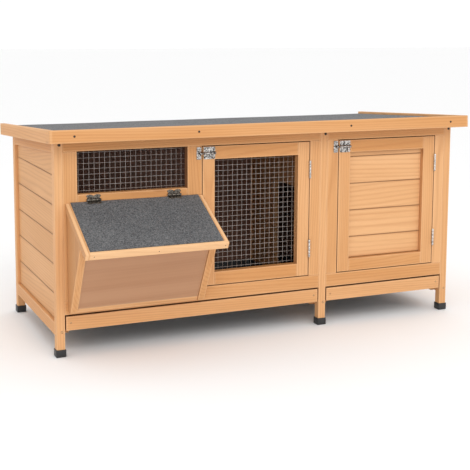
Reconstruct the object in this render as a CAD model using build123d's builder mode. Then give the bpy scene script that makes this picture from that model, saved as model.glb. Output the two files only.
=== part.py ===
from build123d import *
import os
from math import cos, radians, sin, tan

# A wooden rabbit hutch: a cabin behind a mesh door, a nest compartment behind a boarded door,
# two pull-out trays for a floor, and a hay hopper with a sloping lid on the front.
# Millimetres, +X to the right, the front faces -Y, +Z up. The origin is under the middle of
# the whole object, on the ground.

# ---- driving dimensions ---------------------------------------------------------------------
BODY_WIDTH = 1080.0          # over the corner posts
BODY_DEPTH = 438.0           # over the front and back posts
HEIGHT = 534.7               # top of the front fascia
LEFT_BAY = 666.0             # clear width between the left and the middle posts
POST = 20.0                  # square section of every post, and thickness of every rail
CAP_WALL = 2.0               # plastic foot cap
CAP_HEIGHT = 18.0
CAP_FLOOR = 3.0

ROOF_SLOPE = 3.3             # degrees, falling towards the back
ROOF_FRONT_OVERHANG = 48.0
ROOF_BACK_OVERHANG = 60.0
ROOF_SIDE_OVERHANG = 20.0
FASCIA_DEPTH = 30.0
FASCIA_THICKNESS = 12.0
FASCIA_LIP = 6.0             # fascia standing above the felt
FASCIA_ROUND = 4.0           # rounded front arrises of the front fascia
FELT = 2.5
DECK = 9.0

HEAD_DROP = 54.7             # from the roof's front edge down to the underside of the top rail
BOTTOM_RAIL_LOW = 99.5
BOTTOM_RAIL_HEIGHT = 33.5
WINDOW_STILE = 34.0          # left post to window
WINDOW_WIDTH = 271.0
WINDOW_HEIGHT = 100.0
CENTRE_STILE = 37.0          # window to mesh door
HINGE_STILE = 30.0           # mesh door to middle post
LATCH_STILE = 31.0           # middle post to solid door
END_STILE = 29.0             # solid door to right post
WINDOW_RAIL = 50.0

SIDE_RAIL_LOW = 50.0         # height of the underside of the side and back bottom rails
SIDE_RAIL_HEIGHT = 30.0
SIDE_TOP_RAIL = 36.0
BOARD = 10.0                 # wall board thickness
BOARD_RECESS = 8.5
BOARD_PITCH = 70.0
FIRST_JOINT = 61.5           # bottom board, which is ripped narrower
BOARD_GAP = 0.4
BOARD_BEVEL = 1.5
ON_FACE = 0.01               # how near its board's face an edge lies to be bevelled

DOOR_GAP = 2.0
MESH_DOOR_STILE = 31.5
SOLID_DOOR_STILE = 34.0
DOOR_TOP_RAIL = 32.0
DOOR_BOTTOM_RAIL = 32.5
PANEL_RECESS = 12.0          # boards of the solid door, behind its frame
DOOR_TOP_BOARD = 12.8        # ripped strip at the top of the solid door

MESH_PITCH = 12.7
MESH_WIRE = 1.2
MESH_LAP = 10.0              # mesh stapled over the back of the wood
GRILLE_PITCH = 30.0
GRILLE_WIRE = 4.0

LID_SLOPE = 27.4             # degrees below the horizontal
LID_LENGTH = 187.0
LID_THICKNESS = 17.0
LID_FELT = 2.0
LID_FRONT_MARGIN = 7.5       # bare wood before the lid's felt
LID_SIDE_MARGIN = 11.5       # and at its sides
LID_SIDE_OVERHANG = 2.75     # past the hopper's sides
LID_BELOW_SILL = 15.5
LID_WALL_GAP = 1.0
LID_OVERHANG = 49.5          # past the hopper's front, along the slope
LID_REST_GAP = 0.3
HOPPER_LEFT = 28.0           # from the body's left side
HOPPER_WIDTH = 332.0
HOPPER_SIDE = 17.0
HOPPER_FRONT = 9.0
HOPPER_INSET = 3.0
HOPPER_FOOT = 19.5           # depth at the bottom
HOPPER_ABOVE_RAIL = 7.5      # from the underside of the bottom rail
HOPPER_BATTEN = 10.0

PARTITION = 12.0
PARTITION_INSET = 4.0        # from the left face of the middle posts
DOORWAY_FRONT = 93.0
DOORWAY_WIDTH = 174.0
DOORWAY_SILL = 110.0
DOORWAY_TOP = 341.0

TRAY_FRONT_LOW = 62.0
TRAY_FRONT_HEIGHT = 33.5
TRAY_FRONT_GAP = 3.0
TRAY_FRONT_THICKNESS = 18.0
PAN_LOW = 64.0
PAN_HEIGHT = 26.0
PAN_WALL = 2.0
PAN_CLEARANCE = 4.0          # from the posts' inner faces
PAN_BACK_CLEARANCE = 6.0
RUNNER_WIDTH = 14.0
RUNNER_HEIGHT = 12.0
RUNNER_GAP = 0.3

KNUCKLE = 2.75               # outer radius of every hinge barrel
PIN = 1.25
PIN_CLEARANCE = 0.05
BARREL_STANDOFF = 0.3        # barrel surface clear of the wood and felt
LEAF = 0.8
DOOR_HINGE_HEIGHT = 45.0
DOOR_HINGE_INSET = 70.0
DOOR_LEAF_DEPTH = 15.0
LID_HINGE_WIDTH = 35.0
LID_HINGE_INSETS = (64.0, 70.0)
LID_LEAF_HEIGHT = 13.0
KNUCKLE_GAP = 0.4
LID_KNUCKLES = 3
DOOR_KNUCKLES = 5

BOLT_RADIUS = 2.5
BOLT_CLEARANCE = 0.05
BOLT_LENGTH = 33.0
BOLT_DROP = 16.0             # bolt line below the top of the door
BOLT_PLATE = 30.0
BOLT_PLATE_THICKNESS = 1.2
BOLT_STRAP = 5.0
BOLT_INSET = 2.0             # plate behind the door's edge
KEEPER_WIDTH = 12.0
KEEPER_CLEARANCE = 0.3
KNOB_RADIUS = 1.8
KNOB_LENGTH = 14.0

SCREW_HEAD = 3.5
SCREW_HEAD_HEIGHT = 1.2
SCREW_SHANK = 1.75
SCREW_LENGTH = 16.0
SCREW_FIT = 0.05
FASCIA_SCREWS = (205.0, 504.0)    # either side of the middle
POST_SCREW_TOP = 38.5        # below the roof's front edge
POST_SCREW_LOW = 60.0
POST_SCREW_SIDE = 13.0       # from the left face of the post
TRAY_SCREW_INSET = 11.0
TRAY_SCREW_HEIGHT = 80.0

# ---- places that follow from the dimensions ---------------------------------------------------
slope = radians(ROOF_SLOPE)
lid_slope = radians(LID_SLOPE)
lid_reach = LID_LENGTH * cos(lid_slope)

LEFT = -BODY_WIDTH / 2
RIGHT = BODY_WIDTH / 2
FRONT = (lid_reach - BODY_DEPTH - ROOF_BACK_OVERHANG) / 2
BACK = FRONT + BODY_DEPTH
FRONT_BACK = FRONT + POST            # back face of the front frame
BACK_FRONT = BACK - POST             # front face of the back frame

MIDDLE = LEFT + POST + LEFT_BAY      # left face of the middle posts
WINDOW_LEFT = LEFT + POST + WINDOW_STILE
WINDOW_RIGHT = WINDOW_LEFT + WINDOW_WIDTH
HEAD = HEIGHT - HEAD_DROP
SILL = HEAD - WINDOW_HEIGHT
BOTTOM_RAIL_TOP = BOTTOM_RAIL_LOW + BOTTOM_RAIL_HEIGHT
SIDE_RAIL_TOP = SIDE_RAIL_LOW + SIDE_RAIL_HEIGHT
MESH_OPENING = (WINDOW_RIGHT + CENTRE_STILE, MIDDLE - HINGE_STILE)
SOLID_OPENING = (MIDDLE + POST + LATCH_STILE, RIGHT - POST - END_STILE)

ROOF = Plane(
    origin=(0, FRONT - ROOF_FRONT_OVERHANG, HEIGHT),
    x_dir=(1, 0, 0),
    z_dir=(0, sin(slope), cos(slope)),
)
ROOF_WIDTH = BODY_WIDTH + 2 * ROOF_SIDE_OVERHANG
ROOF_LENGTH = (ROOF_FRONT_OVERHANG + BODY_DEPTH + ROOF_BACK_OVERHANG) / cos(slope)
DECK_DEPTH = FASCIA_LIP + FELT + DECK
UNDER_DECK = ROOF.offset(-DECK_DEPTH)

os.makedirs("parts", exist_ok=True)


def save(piece, node):
    """Label a finished piece with its node name and write it."""
    piece.part.label = node
    export_step(piece.part, f"parts/{node}.step")


def block(x, y, z, mode=Mode.ADD):
    """A cuboid between two values along each axis."""
    centre = ((x[0] + x[1]) / 2, (y[0] + y[1]) / 2, (z[0] + z[1]) / 2)
    with Locations(centre):
        Box(x[1] - x[0], y[1] - y[0], z[1] - z[0], mode=mode)


def deck_height(y, drop=0.0):
    """Height of the deck's underside above a place y, less a drop square to the roof."""
    run = y - (FRONT - ROOF_FRONT_OVERHANG)
    return HEIGHT - run * tan(slope) - (DECK_DEPTH + drop) / cos(slope)


def front_planes(spots):
    """Planes that face forwards, one at each spot."""
    return [Plane(origin=spot, x_dir=(1, 0, 0), z_dir=(0, -1, 0)) for spot in spots]


def drill(spots, depth):
    """Pilot holes for screws, from the front."""
    with Locations(*front_planes(spots)):
        Cylinder(
            SCREW_SHANK + SCREW_FIT,
            depth,
            align=(Align.CENTER, Align.CENTER, Align.MAX),
            mode=Mode.SUBTRACT,
        )


def screws(spots, length):
    """Round-head screws, heads on the surface at each spot."""
    with BuildPart() as group:
        with Locations(*front_planes(spots)):
            Cylinder(SCREW_HEAD, SCREW_HEAD_HEIGHT, align=(Align.CENTER, Align.CENTER, Align.MIN))
            Cylinder(SCREW_SHANK, length, align=(Align.CENTER, Align.CENTER, Align.MAX))
    return group


# ---- posts and their caps ---------------------------------------------------------------------
POST_SIDES = {"left": LEFT, "middle": MIDDLE, "right": RIGHT - POST}
post_screws = [
    (side + POST_SCREW_SIDE, FRONT, z)
    for side in POST_SIDES.values()
    for z in (HEIGHT - POST_SCREW_TOP, POST_SCREW_LOW)
]

for place, side in POST_SIDES.items():
    for row, front in {"front": FRONT, "back": BACK_FRONT}.items():
        with BuildPart() as post:
            block((side, side + POST), (front, front + POST), (CAP_FLOOR, HEIGHT))
            split(bisect_by=UNDER_DECK, keep=Keep.BOTTOM)
            if row == "front":
                drill([spot for spot in post_screws if spot[0] == side + POST_SCREW_SIDE], SCREW_LENGTH)
        save(post, f"post_{row}_{place}")

CAP_POCKET = POST + 2 * SCREW_FIT
CAP_OUTSIDE = CAP_POCKET + 2 * CAP_WALL
cap_centres = [
    (side + POST / 2, front + POST / 2, 0)
    for side in POST_SIDES.values()
    for front in (FRONT, BACK_FRONT)
]
with BuildPart() as foot_caps:
    with Locations(*cap_centres):
        Box(CAP_OUTSIDE, CAP_OUTSIDE, CAP_HEIGHT, align=(Align.CENTER, Align.CENTER, Align.MIN))
    fillet(foot_caps.edges().filter_by(Axis.Z), CAP_WALL)
    with Locations(*[Pos(0, 0, CAP_FLOOR) * Pos(*centre) for centre in cap_centres]):
        Box(
            CAP_POCKET,
            CAP_POCKET,
            CAP_HEIGHT,
            align=(Align.CENTER, Align.CENTER, Align.MIN),
            mode=Mode.SUBTRACT,
        )
save(foot_caps, "foot_caps")

# ---- front frame ------------------------------------------------------------------------------
FRONT_THICKNESS = (FRONT, FRONT_BACK)
BAYS = ((LEFT + POST, MIDDLE), (MIDDLE + POST, RIGHT - POST))

with BuildPart() as front_top_rails:
    for bay in BAYS:
        block(bay, FRONT_THICKNESS, (HEAD, HEIGHT))
    split(bisect_by=UNDER_DECK, keep=Keep.BOTTOM)
save(front_top_rails, "front_top_rails")

with BuildPart() as front_bottom_rails:
    for bay in BAYS:
        block(bay, FRONT_THICKNESS, (BOTTOM_RAIL_LOW, BOTTOM_RAIL_TOP))
save(front_bottom_rails, "front_bottom_rails")

with BuildPart() as window_rail:
    block((WINDOW_LEFT, WINDOW_RIGHT), FRONT_THICKNESS, (SILL - WINDOW_RAIL, SILL))
save(window_rail, "window_rail")

STILES = {
    "stile_left_end": [(LEFT + POST, WINDOW_LEFT)],
    "stile_centre": [(WINDOW_RIGHT, MESH_OPENING[0])],
    "stiles_beside_middle_post": [(MESH_OPENING[1], MIDDLE), (MIDDLE + POST, SOLID_OPENING[0])],
    "stile_right_end": [(SOLID_OPENING[1], RIGHT - POST)],
}
for node, widths in STILES.items():
    with BuildPart() as stile:
        for width in widths:
            block(width, FRONT_THICKNESS, (BOTTOM_RAIL_TOP, HEAD))
    save(stile, node)


def wire_panel(x, z, back_of, pitch_x, pitch_z, wire):
    """A flat welded panel: a sheet one wire thick, with a grid of openings between the wires."""
    width = x[1] - x[0]
    height = z[1] - z[0]
    columns = int((width - wire) // pitch_x)
    rows = int((height - wire) // pitch_z)
    centre = ((x[0] + x[1]) / 2, back_of, (z[0] + z[1]) / 2)
    with BuildPart() as panel:
        with BuildSketch(Plane(origin=centre, x_dir=(1, 0, 0), z_dir=(0, -1, 0))):
            Rectangle(columns * pitch_x + wire, rows * pitch_z + wire)
            with GridLocations(pitch_x, pitch_z, columns, rows):
                Rectangle(pitch_x - wire, pitch_z - wire, mode=Mode.SUBTRACT)
        extrude(amount=-wire)
    return panel


window_mesh = wire_panel(
    (WINDOW_LEFT - MESH_LAP, WINDOW_RIGHT + MESH_LAP),
    (SILL - MESH_LAP, HEAD + MESH_LAP),
    FRONT_BACK,
    MESH_PITCH,
    MESH_PITCH,
    MESH_WIRE,
)
save(window_mesh, "window_mesh")

GRILLE_TOP = SILL - WINDOW_RAIL + MESH_LAP
GRILLE_LOW = BOTTOM_RAIL_TOP - MESH_LAP
hay_grille = wire_panel(
    (WINDOW_LEFT - MESH_LAP, WINDOW_RIGHT + MESH_LAP),
    (GRILLE_LOW, GRILLE_TOP),
    FRONT_BACK,
    GRILLE_PITCH,
    (GRILLE_TOP - GRILLE_LOW - GRILLE_WIRE) / 2,
    GRILLE_WIRE,
)
save(hay_grille, "hay_grille")

# ---- side and back walls ------------------------------------------------------------------------
SIDE_RUN = (FRONT_BACK, BACK_FRONT)


def side_rails(x):
    """The bottom rail, and the top rail that follows the roof, of one side."""
    with BuildPart() as rails:
        block(x, SIDE_RUN, (SIDE_RAIL_LOW, SIDE_RAIL_TOP))
        with BuildSketch(Plane.YZ.offset(x[0])):
            with BuildLine():
                Polyline(
                    (SIDE_RUN[0], deck_height(SIDE_RUN[0])),
                    (SIDE_RUN[0], deck_height(SIDE_RUN[0], SIDE_TOP_RAIL)),
                    (SIDE_RUN[1], deck_height(SIDE_RUN[1], SIDE_TOP_RAIL)),
                    (SIDE_RUN[1], deck_height(SIDE_RUN[1])),
                    close=True,
                )
            make_face()
        extrude(amount=x[1] - x[0])
    return rails


def board_heights(low, high, first, pitch):
    """Lower and upper edges of each board of a wall, from the bottom up."""
    edges = [low]
    joint = low + first
    while joint < high - BOARD:
        edges.append(joint)
        joint += pitch
    edges.append(high)
    return list(zip(edges[:-1], edges[1:]))


def side_boards(outer, inward):
    """Horizontal boards of one side wall; inward is +1 on the left side and -1 on the right."""
    face_x = outer + inward * BOARD_RECESS
    inner_x = face_x + inward * BOARD
    x = (min(face_x, inner_x), max(face_x, inner_x))
    top = deck_height(SIDE_RUN[0], SIDE_TOP_RAIL)
    with BuildPart() as boards:
        for low, high in board_heights(SIDE_RAIL_TOP, top, FIRST_JOINT, BOARD_PITCH):
            block(x, SIDE_RUN, (low + BOARD_GAP / 2, high - BOARD_GAP / 2))
        seams = [
            edge
            for edge in boards.edges().filter_by(Axis.Y)
            if abs(edge.center().X - face_x) < ON_FACE
        ]
        chamfer(seams, BOARD_BEVEL)
        split(bisect_by=ROOF.offset(-DECK_DEPTH - SIDE_TOP_RAIL - BOARD_GAP / 2), keep=Keep.BOTTOM)
    return boards


for hand, outer, inward in (("left", LEFT, 1), ("right", RIGHT, -1)):
    rail_x = (min(outer, outer + inward * POST), max(outer, outer + inward * POST))
    save(side_rails(rail_x), f"{hand}_side_rails")
    save(side_boards(outer, inward), f"{hand}_side_boards")

BACK_THICKNESS = (BACK_FRONT, BACK)
back_rail_underside = deck_height(BACK, SIDE_TOP_RAIL)
with BuildPart() as back_rails:
    for bay in BAYS:
        block(bay, BACK_THICKNESS, (SIDE_RAIL_LOW, SIDE_RAIL_TOP))
        block(bay, BACK_THICKNESS, (back_rail_underside, HEIGHT))
    split(bisect_by=UNDER_DECK, keep=Keep.BOTTOM)
save(back_rails, "back_rails")

with BuildPart() as back_boards:
    back_face = BACK - BOARD_RECESS
    for bay in BAYS:
        for low, high in board_heights(SIDE_RAIL_TOP, back_rail_underside, FIRST_JOINT, BOARD_PITCH):
            block(bay, (back_face - BOARD, back_face), (low + BOARD_GAP / 2, high - BOARD_GAP / 2))
    seams = [
        edge
        for edge in back_boards.edges().filter_by(Axis.X)
        if abs(edge.center().Y - back_face) < ON_FACE
    ]
    chamfer(seams, BOARD_BEVEL)
save(back_boards, "back_boards")

# ---- partition, its bearer and the tray runners ----------------------------------------------------
with BuildPart() as middle_bearer:
    block((MIDDLE, MIDDLE + POST), SIDE_RUN, (SIDE_RAIL_LOW, SIDE_RAIL_TOP))
save(middle_bearer, "middle_bearer")

partition_left = MIDDLE + PARTITION_INSET
with BuildPart() as partition:
    block((partition_left, partition_left + PARTITION), SIDE_RUN, (SIDE_RAIL_TOP, HEIGHT))
    split(bisect_by=UNDER_DECK, keep=Keep.BOTTOM)
    block(
        (partition_left, partition_left + PARTITION),
        (FRONT + DOORWAY_FRONT, FRONT + DOORWAY_FRONT + DOORWAY_WIDTH),
        (DOORWAY_SILL, DOORWAY_TOP),
        mode=Mode.SUBTRACT,
    )
save(partition, "partition")

runner_top = PAN_LOW - RUNNER_GAP
with BuildPart() as tray_runners:
    for bay in BAYS:
        for runner in ((bay[0], bay[0] + RUNNER_WIDTH), (bay[1] - RUNNER_WIDTH, bay[1])):
            block(runner, SIDE_RUN, (runner_top - RUNNER_HEIGHT, runner_top))
save(tray_runners, "tray_runners")

# ---- roof -------------------------------------------------------------------------------------------
FROM_FRONT_EDGE = (Align.CENTER, Align.MIN)
deck_width = ROOF_WIDTH - 2 * FASCIA_THICKNESS
fascia_middle = (ROOF * Pos(0, 0, -FASCIA_DEPTH / 2)).position
fascia_screws = [
    (hand * x, fascia_middle.Y, fascia_middle.Z)
    for x in FASCIA_SCREWS
    for hand in (-1, 1)
]
fascia_screw_planes = [
    Plane(origin=spot, x_dir=(1, 0, 0), z_dir=(0, -cos(slope), sin(slope))) for spot in fascia_screws
]

with BuildPart() as roof_deck:
    with BuildSketch(UNDER_DECK):
        with Locations((0, FASCIA_THICKNESS)):
            Rectangle(deck_width, ROOF_LENGTH - FASCIA_THICKNESS, align=FROM_FRONT_EDGE)
    extrude(amount=DECK)
save(roof_deck, "roof_deck")

with BuildPart() as roof_felt:
    with BuildSketch(ROOF.offset(-FASCIA_LIP - FELT)):
        with Locations((0, FASCIA_THICKNESS)):
            Rectangle(deck_width, ROOF_LENGTH - FASCIA_THICKNESS, align=FROM_FRONT_EDGE)
    extrude(amount=FELT)
save(roof_felt, "roof_felt")

with BuildPart() as fascia_front:
    with BuildSketch(ROOF.offset(-FASCIA_DEPTH)) as fascia_outline:
        Rectangle(ROOF_WIDTH, FASCIA_THICKNESS, align=FROM_FRONT_EDGE)
        fillet(fascia_outline.vertices().group_by(Axis.Y)[0], FASCIA_ROUND)
    extrude(amount=FASCIA_DEPTH)
    with Locations(*fascia_screw_planes):
        Cylinder(
            SCREW_SHANK + SCREW_FIT,
            FASCIA_THICKNESS,
            align=(Align.CENTER, Align.CENTER, Align.MAX),
            mode=Mode.SUBTRACT,
        )
save(fascia_front, "fascia_front")

for hand, middle in (("left", -1), ("right", 1)):
    with BuildPart() as fascia_side:
        with BuildSketch(ROOF.offset(-FASCIA_DEPTH)):
            with Locations((middle * (ROOF_WIDTH - FASCIA_THICKNESS) / 2, FASCIA_THICKNESS)):
                Rectangle(FASCIA_THICKNESS, ROOF_LENGTH - FASCIA_THICKNESS, align=FROM_FRONT_EDGE)
        extrude(amount=FASCIA_DEPTH)
    save(fascia_side, f"fascia_{hand}")

with BuildPart() as frame_screws:
    with Locations(*front_planes(post_screws), *fascia_screw_planes):
        Cylinder(SCREW_HEAD, SCREW_HEAD_HEIGHT, align=(Align.CENTER, Align.CENTER, Align.MIN))
    with Locations(*front_planes(post_screws)):
        Cylinder(SCREW_SHANK, SCREW_LENGTH, align=(Align.CENTER, Align.CENTER, Align.MAX))
    with Locations(*fascia_screw_planes):
        Cylinder(SCREW_SHANK, FASCIA_THICKNESS, align=(Align.CENTER, Align.CENTER, Align.MAX))
save(frame_screws, "frame_screws")

# ---- hay hopper ----------------------------------------------------------------------------------
# Points below are (distance from the wall, height) in the vertical plane; forwards is negative.
LID_TOP = SILL - LID_BELOW_SILL - LID_FELT / cos(lid_slope)
hopper_x = (LEFT + HOPPER_LEFT, LEFT + HOPPER_LEFT + HOPPER_WIDTH)
hopper_low = BOTTOM_RAIL_LOW + HOPPER_ABOVE_RAIL


def lid_point(along, above):
    """A point by its distance down the slope from the wall, and its height above the lid board."""
    y = FRONT - along * cos(lid_slope) - above * sin(lid_slope)
    z = LID_TOP - along * sin(lid_slope) + above * cos(lid_slope)
    return (y, z)


def lid_height(y, above):
    """Height, at a place y, of the line a distance above the lid board."""
    return LID_TOP + (y - FRONT) * tan(lid_slope) + above / cos(lid_slope)


hopper_rim = -LID_THICKNESS - LID_REST_GAP
foot = Vector(FRONT - HOPPER_FOOT, hopper_low)
brow = Vector(*lid_point(LID_LENGTH - LID_OVERHANG, hopper_rim))
front_rise = (brow - foot).normalized()
front_in = Vector(front_rise.Y, -front_rise.X)


def front_line(depth, height):
    """Point on the line parallel to the hopper's front edge, a depth behind it, at a height."""
    start = foot + front_in * depth
    return start + front_rise * ((height - start.Y) / front_rise.Y)


def front_line_under_lid(depth):
    """Where the line parallel to the hopper's front edge, a depth behind it, meets the rim."""
    start = foot + front_in * depth
    rise = lid_height(start.X, hopper_rim) - start.Y
    return start + front_rise * (rise / (front_rise.Y - front_rise.X * tan(lid_slope)))


def section(points, x):
    """A piece of constant section: the outline in the vertical plane, carried between two x."""
    with BuildPart() as piece:
        with BuildSketch(Plane.YZ.offset(x[0])):
            with BuildLine():
                Polyline(*[(point[0], point[1]) for point in points], close=True)
            make_face()
        extrude(amount=x[1] - x[0])
    return piece


side_outline = [
    (FRONT, hopper_low),
    (foot.X, foot.Y),
    (brow.X, brow.Y),
    (FRONT, lid_height(FRONT, hopper_rim)),
]
for hand, x in (
    ("left", (hopper_x[0], hopper_x[0] + HOPPER_SIDE)),
    ("right", (hopper_x[1] - HOPPER_SIDE, hopper_x[1])),
):
    save(section(side_outline, x), f"hopper_side_{hand}")

hopper_inside = (hopper_x[0] + HOPPER_SIDE, hopper_x[1] - HOPPER_SIDE)
panel_back = HOPPER_INSET + HOPPER_FRONT
front_outline = [
    front_line(HOPPER_INSET, hopper_low),
    front_line_under_lid(HOPPER_INSET),
    front_line_under_lid(panel_back),
    front_line(panel_back, hopper_low),
]
save(section([(p.X, p.Y) for p in front_outline], hopper_inside), "hopper_front")

batten_top = hopper_low + HOPPER_BATTEN
batten_outline = [
    (front_line(panel_back, hopper_low).X, hopper_low),
    (front_line(panel_back, batten_top).X, batten_top),
    (FRONT, batten_top),
    (FRONT, hopper_low),
]
save(section(batten_outline, hopper_inside), "hopper_batten")

# ---- hopper lid ------------------------------------------------------------------------------------
lid_back = FRONT - LID_WALL_GAP
lid_outline = [
    (lid_back, lid_height(lid_back, -LID_THICKNESS)),
    lid_point(LID_LENGTH, -LID_THICKNESS),
    lid_point(LID_LENGTH, 0),
    (lid_back, lid_height(lid_back, 0)),
]
lid_x = (hopper_x[0] - LID_SIDE_OVERHANG, hopper_x[1] + LID_SIDE_OVERHANG)
save(section(lid_outline, lid_x), "lid_board")

felt_outline = [
    (lid_back, lid_height(lid_back, 0)),
    lid_point(LID_LENGTH - LID_FRONT_MARGIN, 0),
    lid_point(LID_LENGTH - LID_FRONT_MARGIN, LID_FELT),
    (lid_back, lid_height(lid_back, LID_FELT)),
]
felt_x = (lid_x[0] + LID_SIDE_MARGIN, lid_x[1] - LID_SIDE_MARGIN)
save(section(felt_outline, felt_x), "lid_felt")

BARREL_OFFSET = KNUCKLE + BARREL_STANDOFF
lid_axis_y = FRONT - BARREL_OFFSET
lid_axis_z = lid_height(lid_axis_y, LID_FELT + BARREL_OFFSET)
lid_axis = (lid_axis_y, lid_axis_z)
lid_hinge_centres = (hopper_x[0] + LID_HINGE_INSETS[0], hopper_x[1] - LID_HINGE_INSETS[1])


def knuckles(low, high, keep_ends, count):
    """Lengths of alternate knuckles of a barrel, either those at its ends or those between."""
    pitch = (high - low) / count
    spans = []
    for index in range(count):
        if (index % 2 == 0) == keep_ends:
            start = low + index * pitch + (KNUCKLE_GAP / 2 if index > 0 else 0)
            stop = low + (index + 1) * pitch - (KNUCKLE_GAP / 2 if index < count - 1 else 0)
            spans.append((start, stop))
    return spans


def lid_barrel(span):
    """One knuckle of a lid hinge, without its bore."""
    with Locations(Plane(origin=(span[0], *lid_axis), z_dir=(1, 0, 0))):
        Cylinder(KNUCKLE, span[1] - span[0], align=(Align.CENTER, Align.CENTER, Align.MIN))


def lid_bore(low, high):
    """The bore through a whole lid hinge barrel."""
    with Locations(Plane(origin=(low, *lid_axis), z_dir=(1, 0, 0))):
        Cylinder(
            PIN + PIN_CLEARANCE,
            high - low,
            align=(Align.CENTER, Align.CENTER, Align.MIN),
            mode=Mode.SUBTRACT,
        )


with BuildPart() as lid_hinge_wall_leaves:
    for centre in lid_hinge_centres:
        low = centre - LID_HINGE_WIDTH / 2
        high = centre + LID_HINGE_WIDTH / 2
        leaf_z = (lid_axis_z, lid_axis_z + LID_LEAF_HEIGHT)
        for span in knuckles(low, high, True, LID_KNUCKLES):
            lid_barrel(span)
            block(span, (FRONT - BARREL_OFFSET, FRONT), (lid_axis_z, lid_axis_z + KNUCKLE))
        block((low, high), (FRONT - LEAF, FRONT), (lid_axis_z + KNUCKLE + KNUCKLE_GAP, leaf_z[1]))
        for span in knuckles(low, high, True, LID_KNUCKLES):
            block(span, (FRONT - LEAF, FRONT), leaf_z)
        lid_bore(low, high)
save(lid_hinge_wall_leaves, "lid_hinge_wall_leaves")

lid_plane = Plane(
    origin=(0, *lid_point(0, LID_FELT)),
    x_dir=(1, 0, 0),
    z_dir=(0, -sin(lid_slope), cos(lid_slope)),
)
axis_on_lid = lid_plane.to_local_coords(Vector(0, *lid_axis)).Y
with BuildPart() as lid_hinge_leaves:
    for centre in lid_hinge_centres:
        low = centre - LID_HINGE_WIDTH / 2
        high = centre + LID_HINGE_WIDTH / 2
        for span in knuckles(low, high, False, LID_KNUCKLES):
            lid_barrel(span)
        with BuildSketch(lid_plane):
            with Locations((centre, axis_on_lid - KNUCKLE - KNUCKLE_GAP)):
                Rectangle(
                    LID_HINGE_WIDTH,
                    LID_LEAF_HEIGHT - KNUCKLE - KNUCKLE_GAP,
                    align=(Align.CENTER, Align.MAX),
                )
        extrude(amount=LEAF)
        with BuildSketch(lid_plane):
            for span in knuckles(low, high, False, LID_KNUCKLES):
                with Locations(((span[0] + span[1]) / 2, axis_on_lid)):
                    Rectangle(span[1] - span[0], LID_LEAF_HEIGHT, align=(Align.CENTER, Align.MAX))
        extrude(amount=LEAF)
        lid_bore(low, high)
save(lid_hinge_leaves, "lid_hinge_leaves")

# ---- doors -------------------------------------------------------------------------------------------
door_z = (BOTTOM_RAIL_TOP + DOOR_GAP, HEAD - DOOR_GAP)
panel_z = (door_z[0] + DOOR_BOTTOM_RAIL, door_z[1] - DOOR_TOP_RAIL)
hinge_centres_z = (door_z[0] + DOOR_HINGE_INSET, door_z[1] - DOOR_HINGE_INSET)
bolt_z = door_z[1] - BOLT_DROP
barrel_y = FRONT - BARREL_OFFSET


def door_span(opening):
    """Left and right edges of the door that hangs in an opening."""
    return (opening[0] + DOOR_GAP, opening[1] - DOOR_GAP)


def panel_span(opening):
    """Left and right edges of the space inside a door's frame."""
    door = door_span(opening)
    stile = MESH_DOOR_STILE if opening == MESH_OPENING else SOLID_DOOR_STILE
    return (door[0] + stile, door[1] - stile)


def door_stiles(opening):
    """The two uprights of a door frame."""
    door = door_span(opening)
    panel = panel_span(opening)
    with BuildPart() as stiles:
        block((door[0], panel[0]), FRONT_THICKNESS, door_z)
        block((panel[1], door[1]), FRONT_THICKNESS, door_z)
    return stiles


def door_rails(opening):
    """The top and bottom rails of a door frame, between its stiles."""
    with BuildPart() as rails:
        block(panel_span(opening), FRONT_THICKNESS, (door_z[0], panel_z[0]))
        block(panel_span(opening), FRONT_THICKNESS, (panel_z[1], door_z[1]))
    return rails


def door_barrel(x, span):
    """One knuckle of a door hinge, without its bore."""
    with Locations((x, barrel_y, span[0])):
        Cylinder(KNUCKLE, span[1] - span[0], align=(Align.CENTER, Align.CENTER, Align.MIN))


def door_hinge_leaves(openings, on_frame):
    """Hinge leaves let into the gap beside each door: on the frame, or on the door's own edge."""
    with BuildPart() as leaves:
        for opening in openings:
            x = opening[1] - DOOR_GAP / 2
            leaf_x = (opening[1] - LEAF, opening[1])
            if not on_frame:
                leaf_x = (opening[1] - DOOR_GAP, opening[1] - DOOR_GAP + LEAF)
            for centre in hinge_centres_z:
                low = centre - DOOR_HINGE_HEIGHT / 2
                high = centre + DOOR_HINGE_HEIGHT / 2
                block(leaf_x, (FRONT + BARREL_STANDOFF, FRONT + DOOR_LEAF_DEPTH), (low, high))
                for span in knuckles(low, high, on_frame, DOOR_KNUCKLES):
                    door_barrel(x, span)
                    block(leaf_x, (barrel_y, FRONT + BARREL_STANDOFF), span)
                with Locations((x, barrel_y, centre)):
                    Cylinder(PIN + PIN_CLEARANCE, DOOR_HINGE_HEIGHT, mode=Mode.SUBTRACT)
    return leaves


save(door_hinge_leaves((MESH_OPENING, SOLID_OPENING), True), "door_hinge_frame_leaves")

with BuildPart() as hinge_pins:
    pin_places = [
        (opening[1] - DOOR_GAP / 2, barrel_y, centre)
        for opening in (MESH_OPENING, SOLID_OPENING)
        for centre in hinge_centres_z
    ]
    with Locations(*pin_places):
        Cylinder(PIN, DOOR_HINGE_HEIGHT)
    for centre in lid_hinge_centres:
        with Locations(Plane(origin=(centre, *lid_axis), z_dir=(1, 0, 0))):
            Cylinder(PIN, LID_HINGE_WIDTH)
save(hinge_pins, "hinge_pins")

bolt_y = FRONT - BOLT_PLATE_THICKNESS - BOLT_RADIUS - KEEPER_CLEARANCE
strap_reach = BOLT_RADIUS + BOLT_PLATE_THICKNESS


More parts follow.
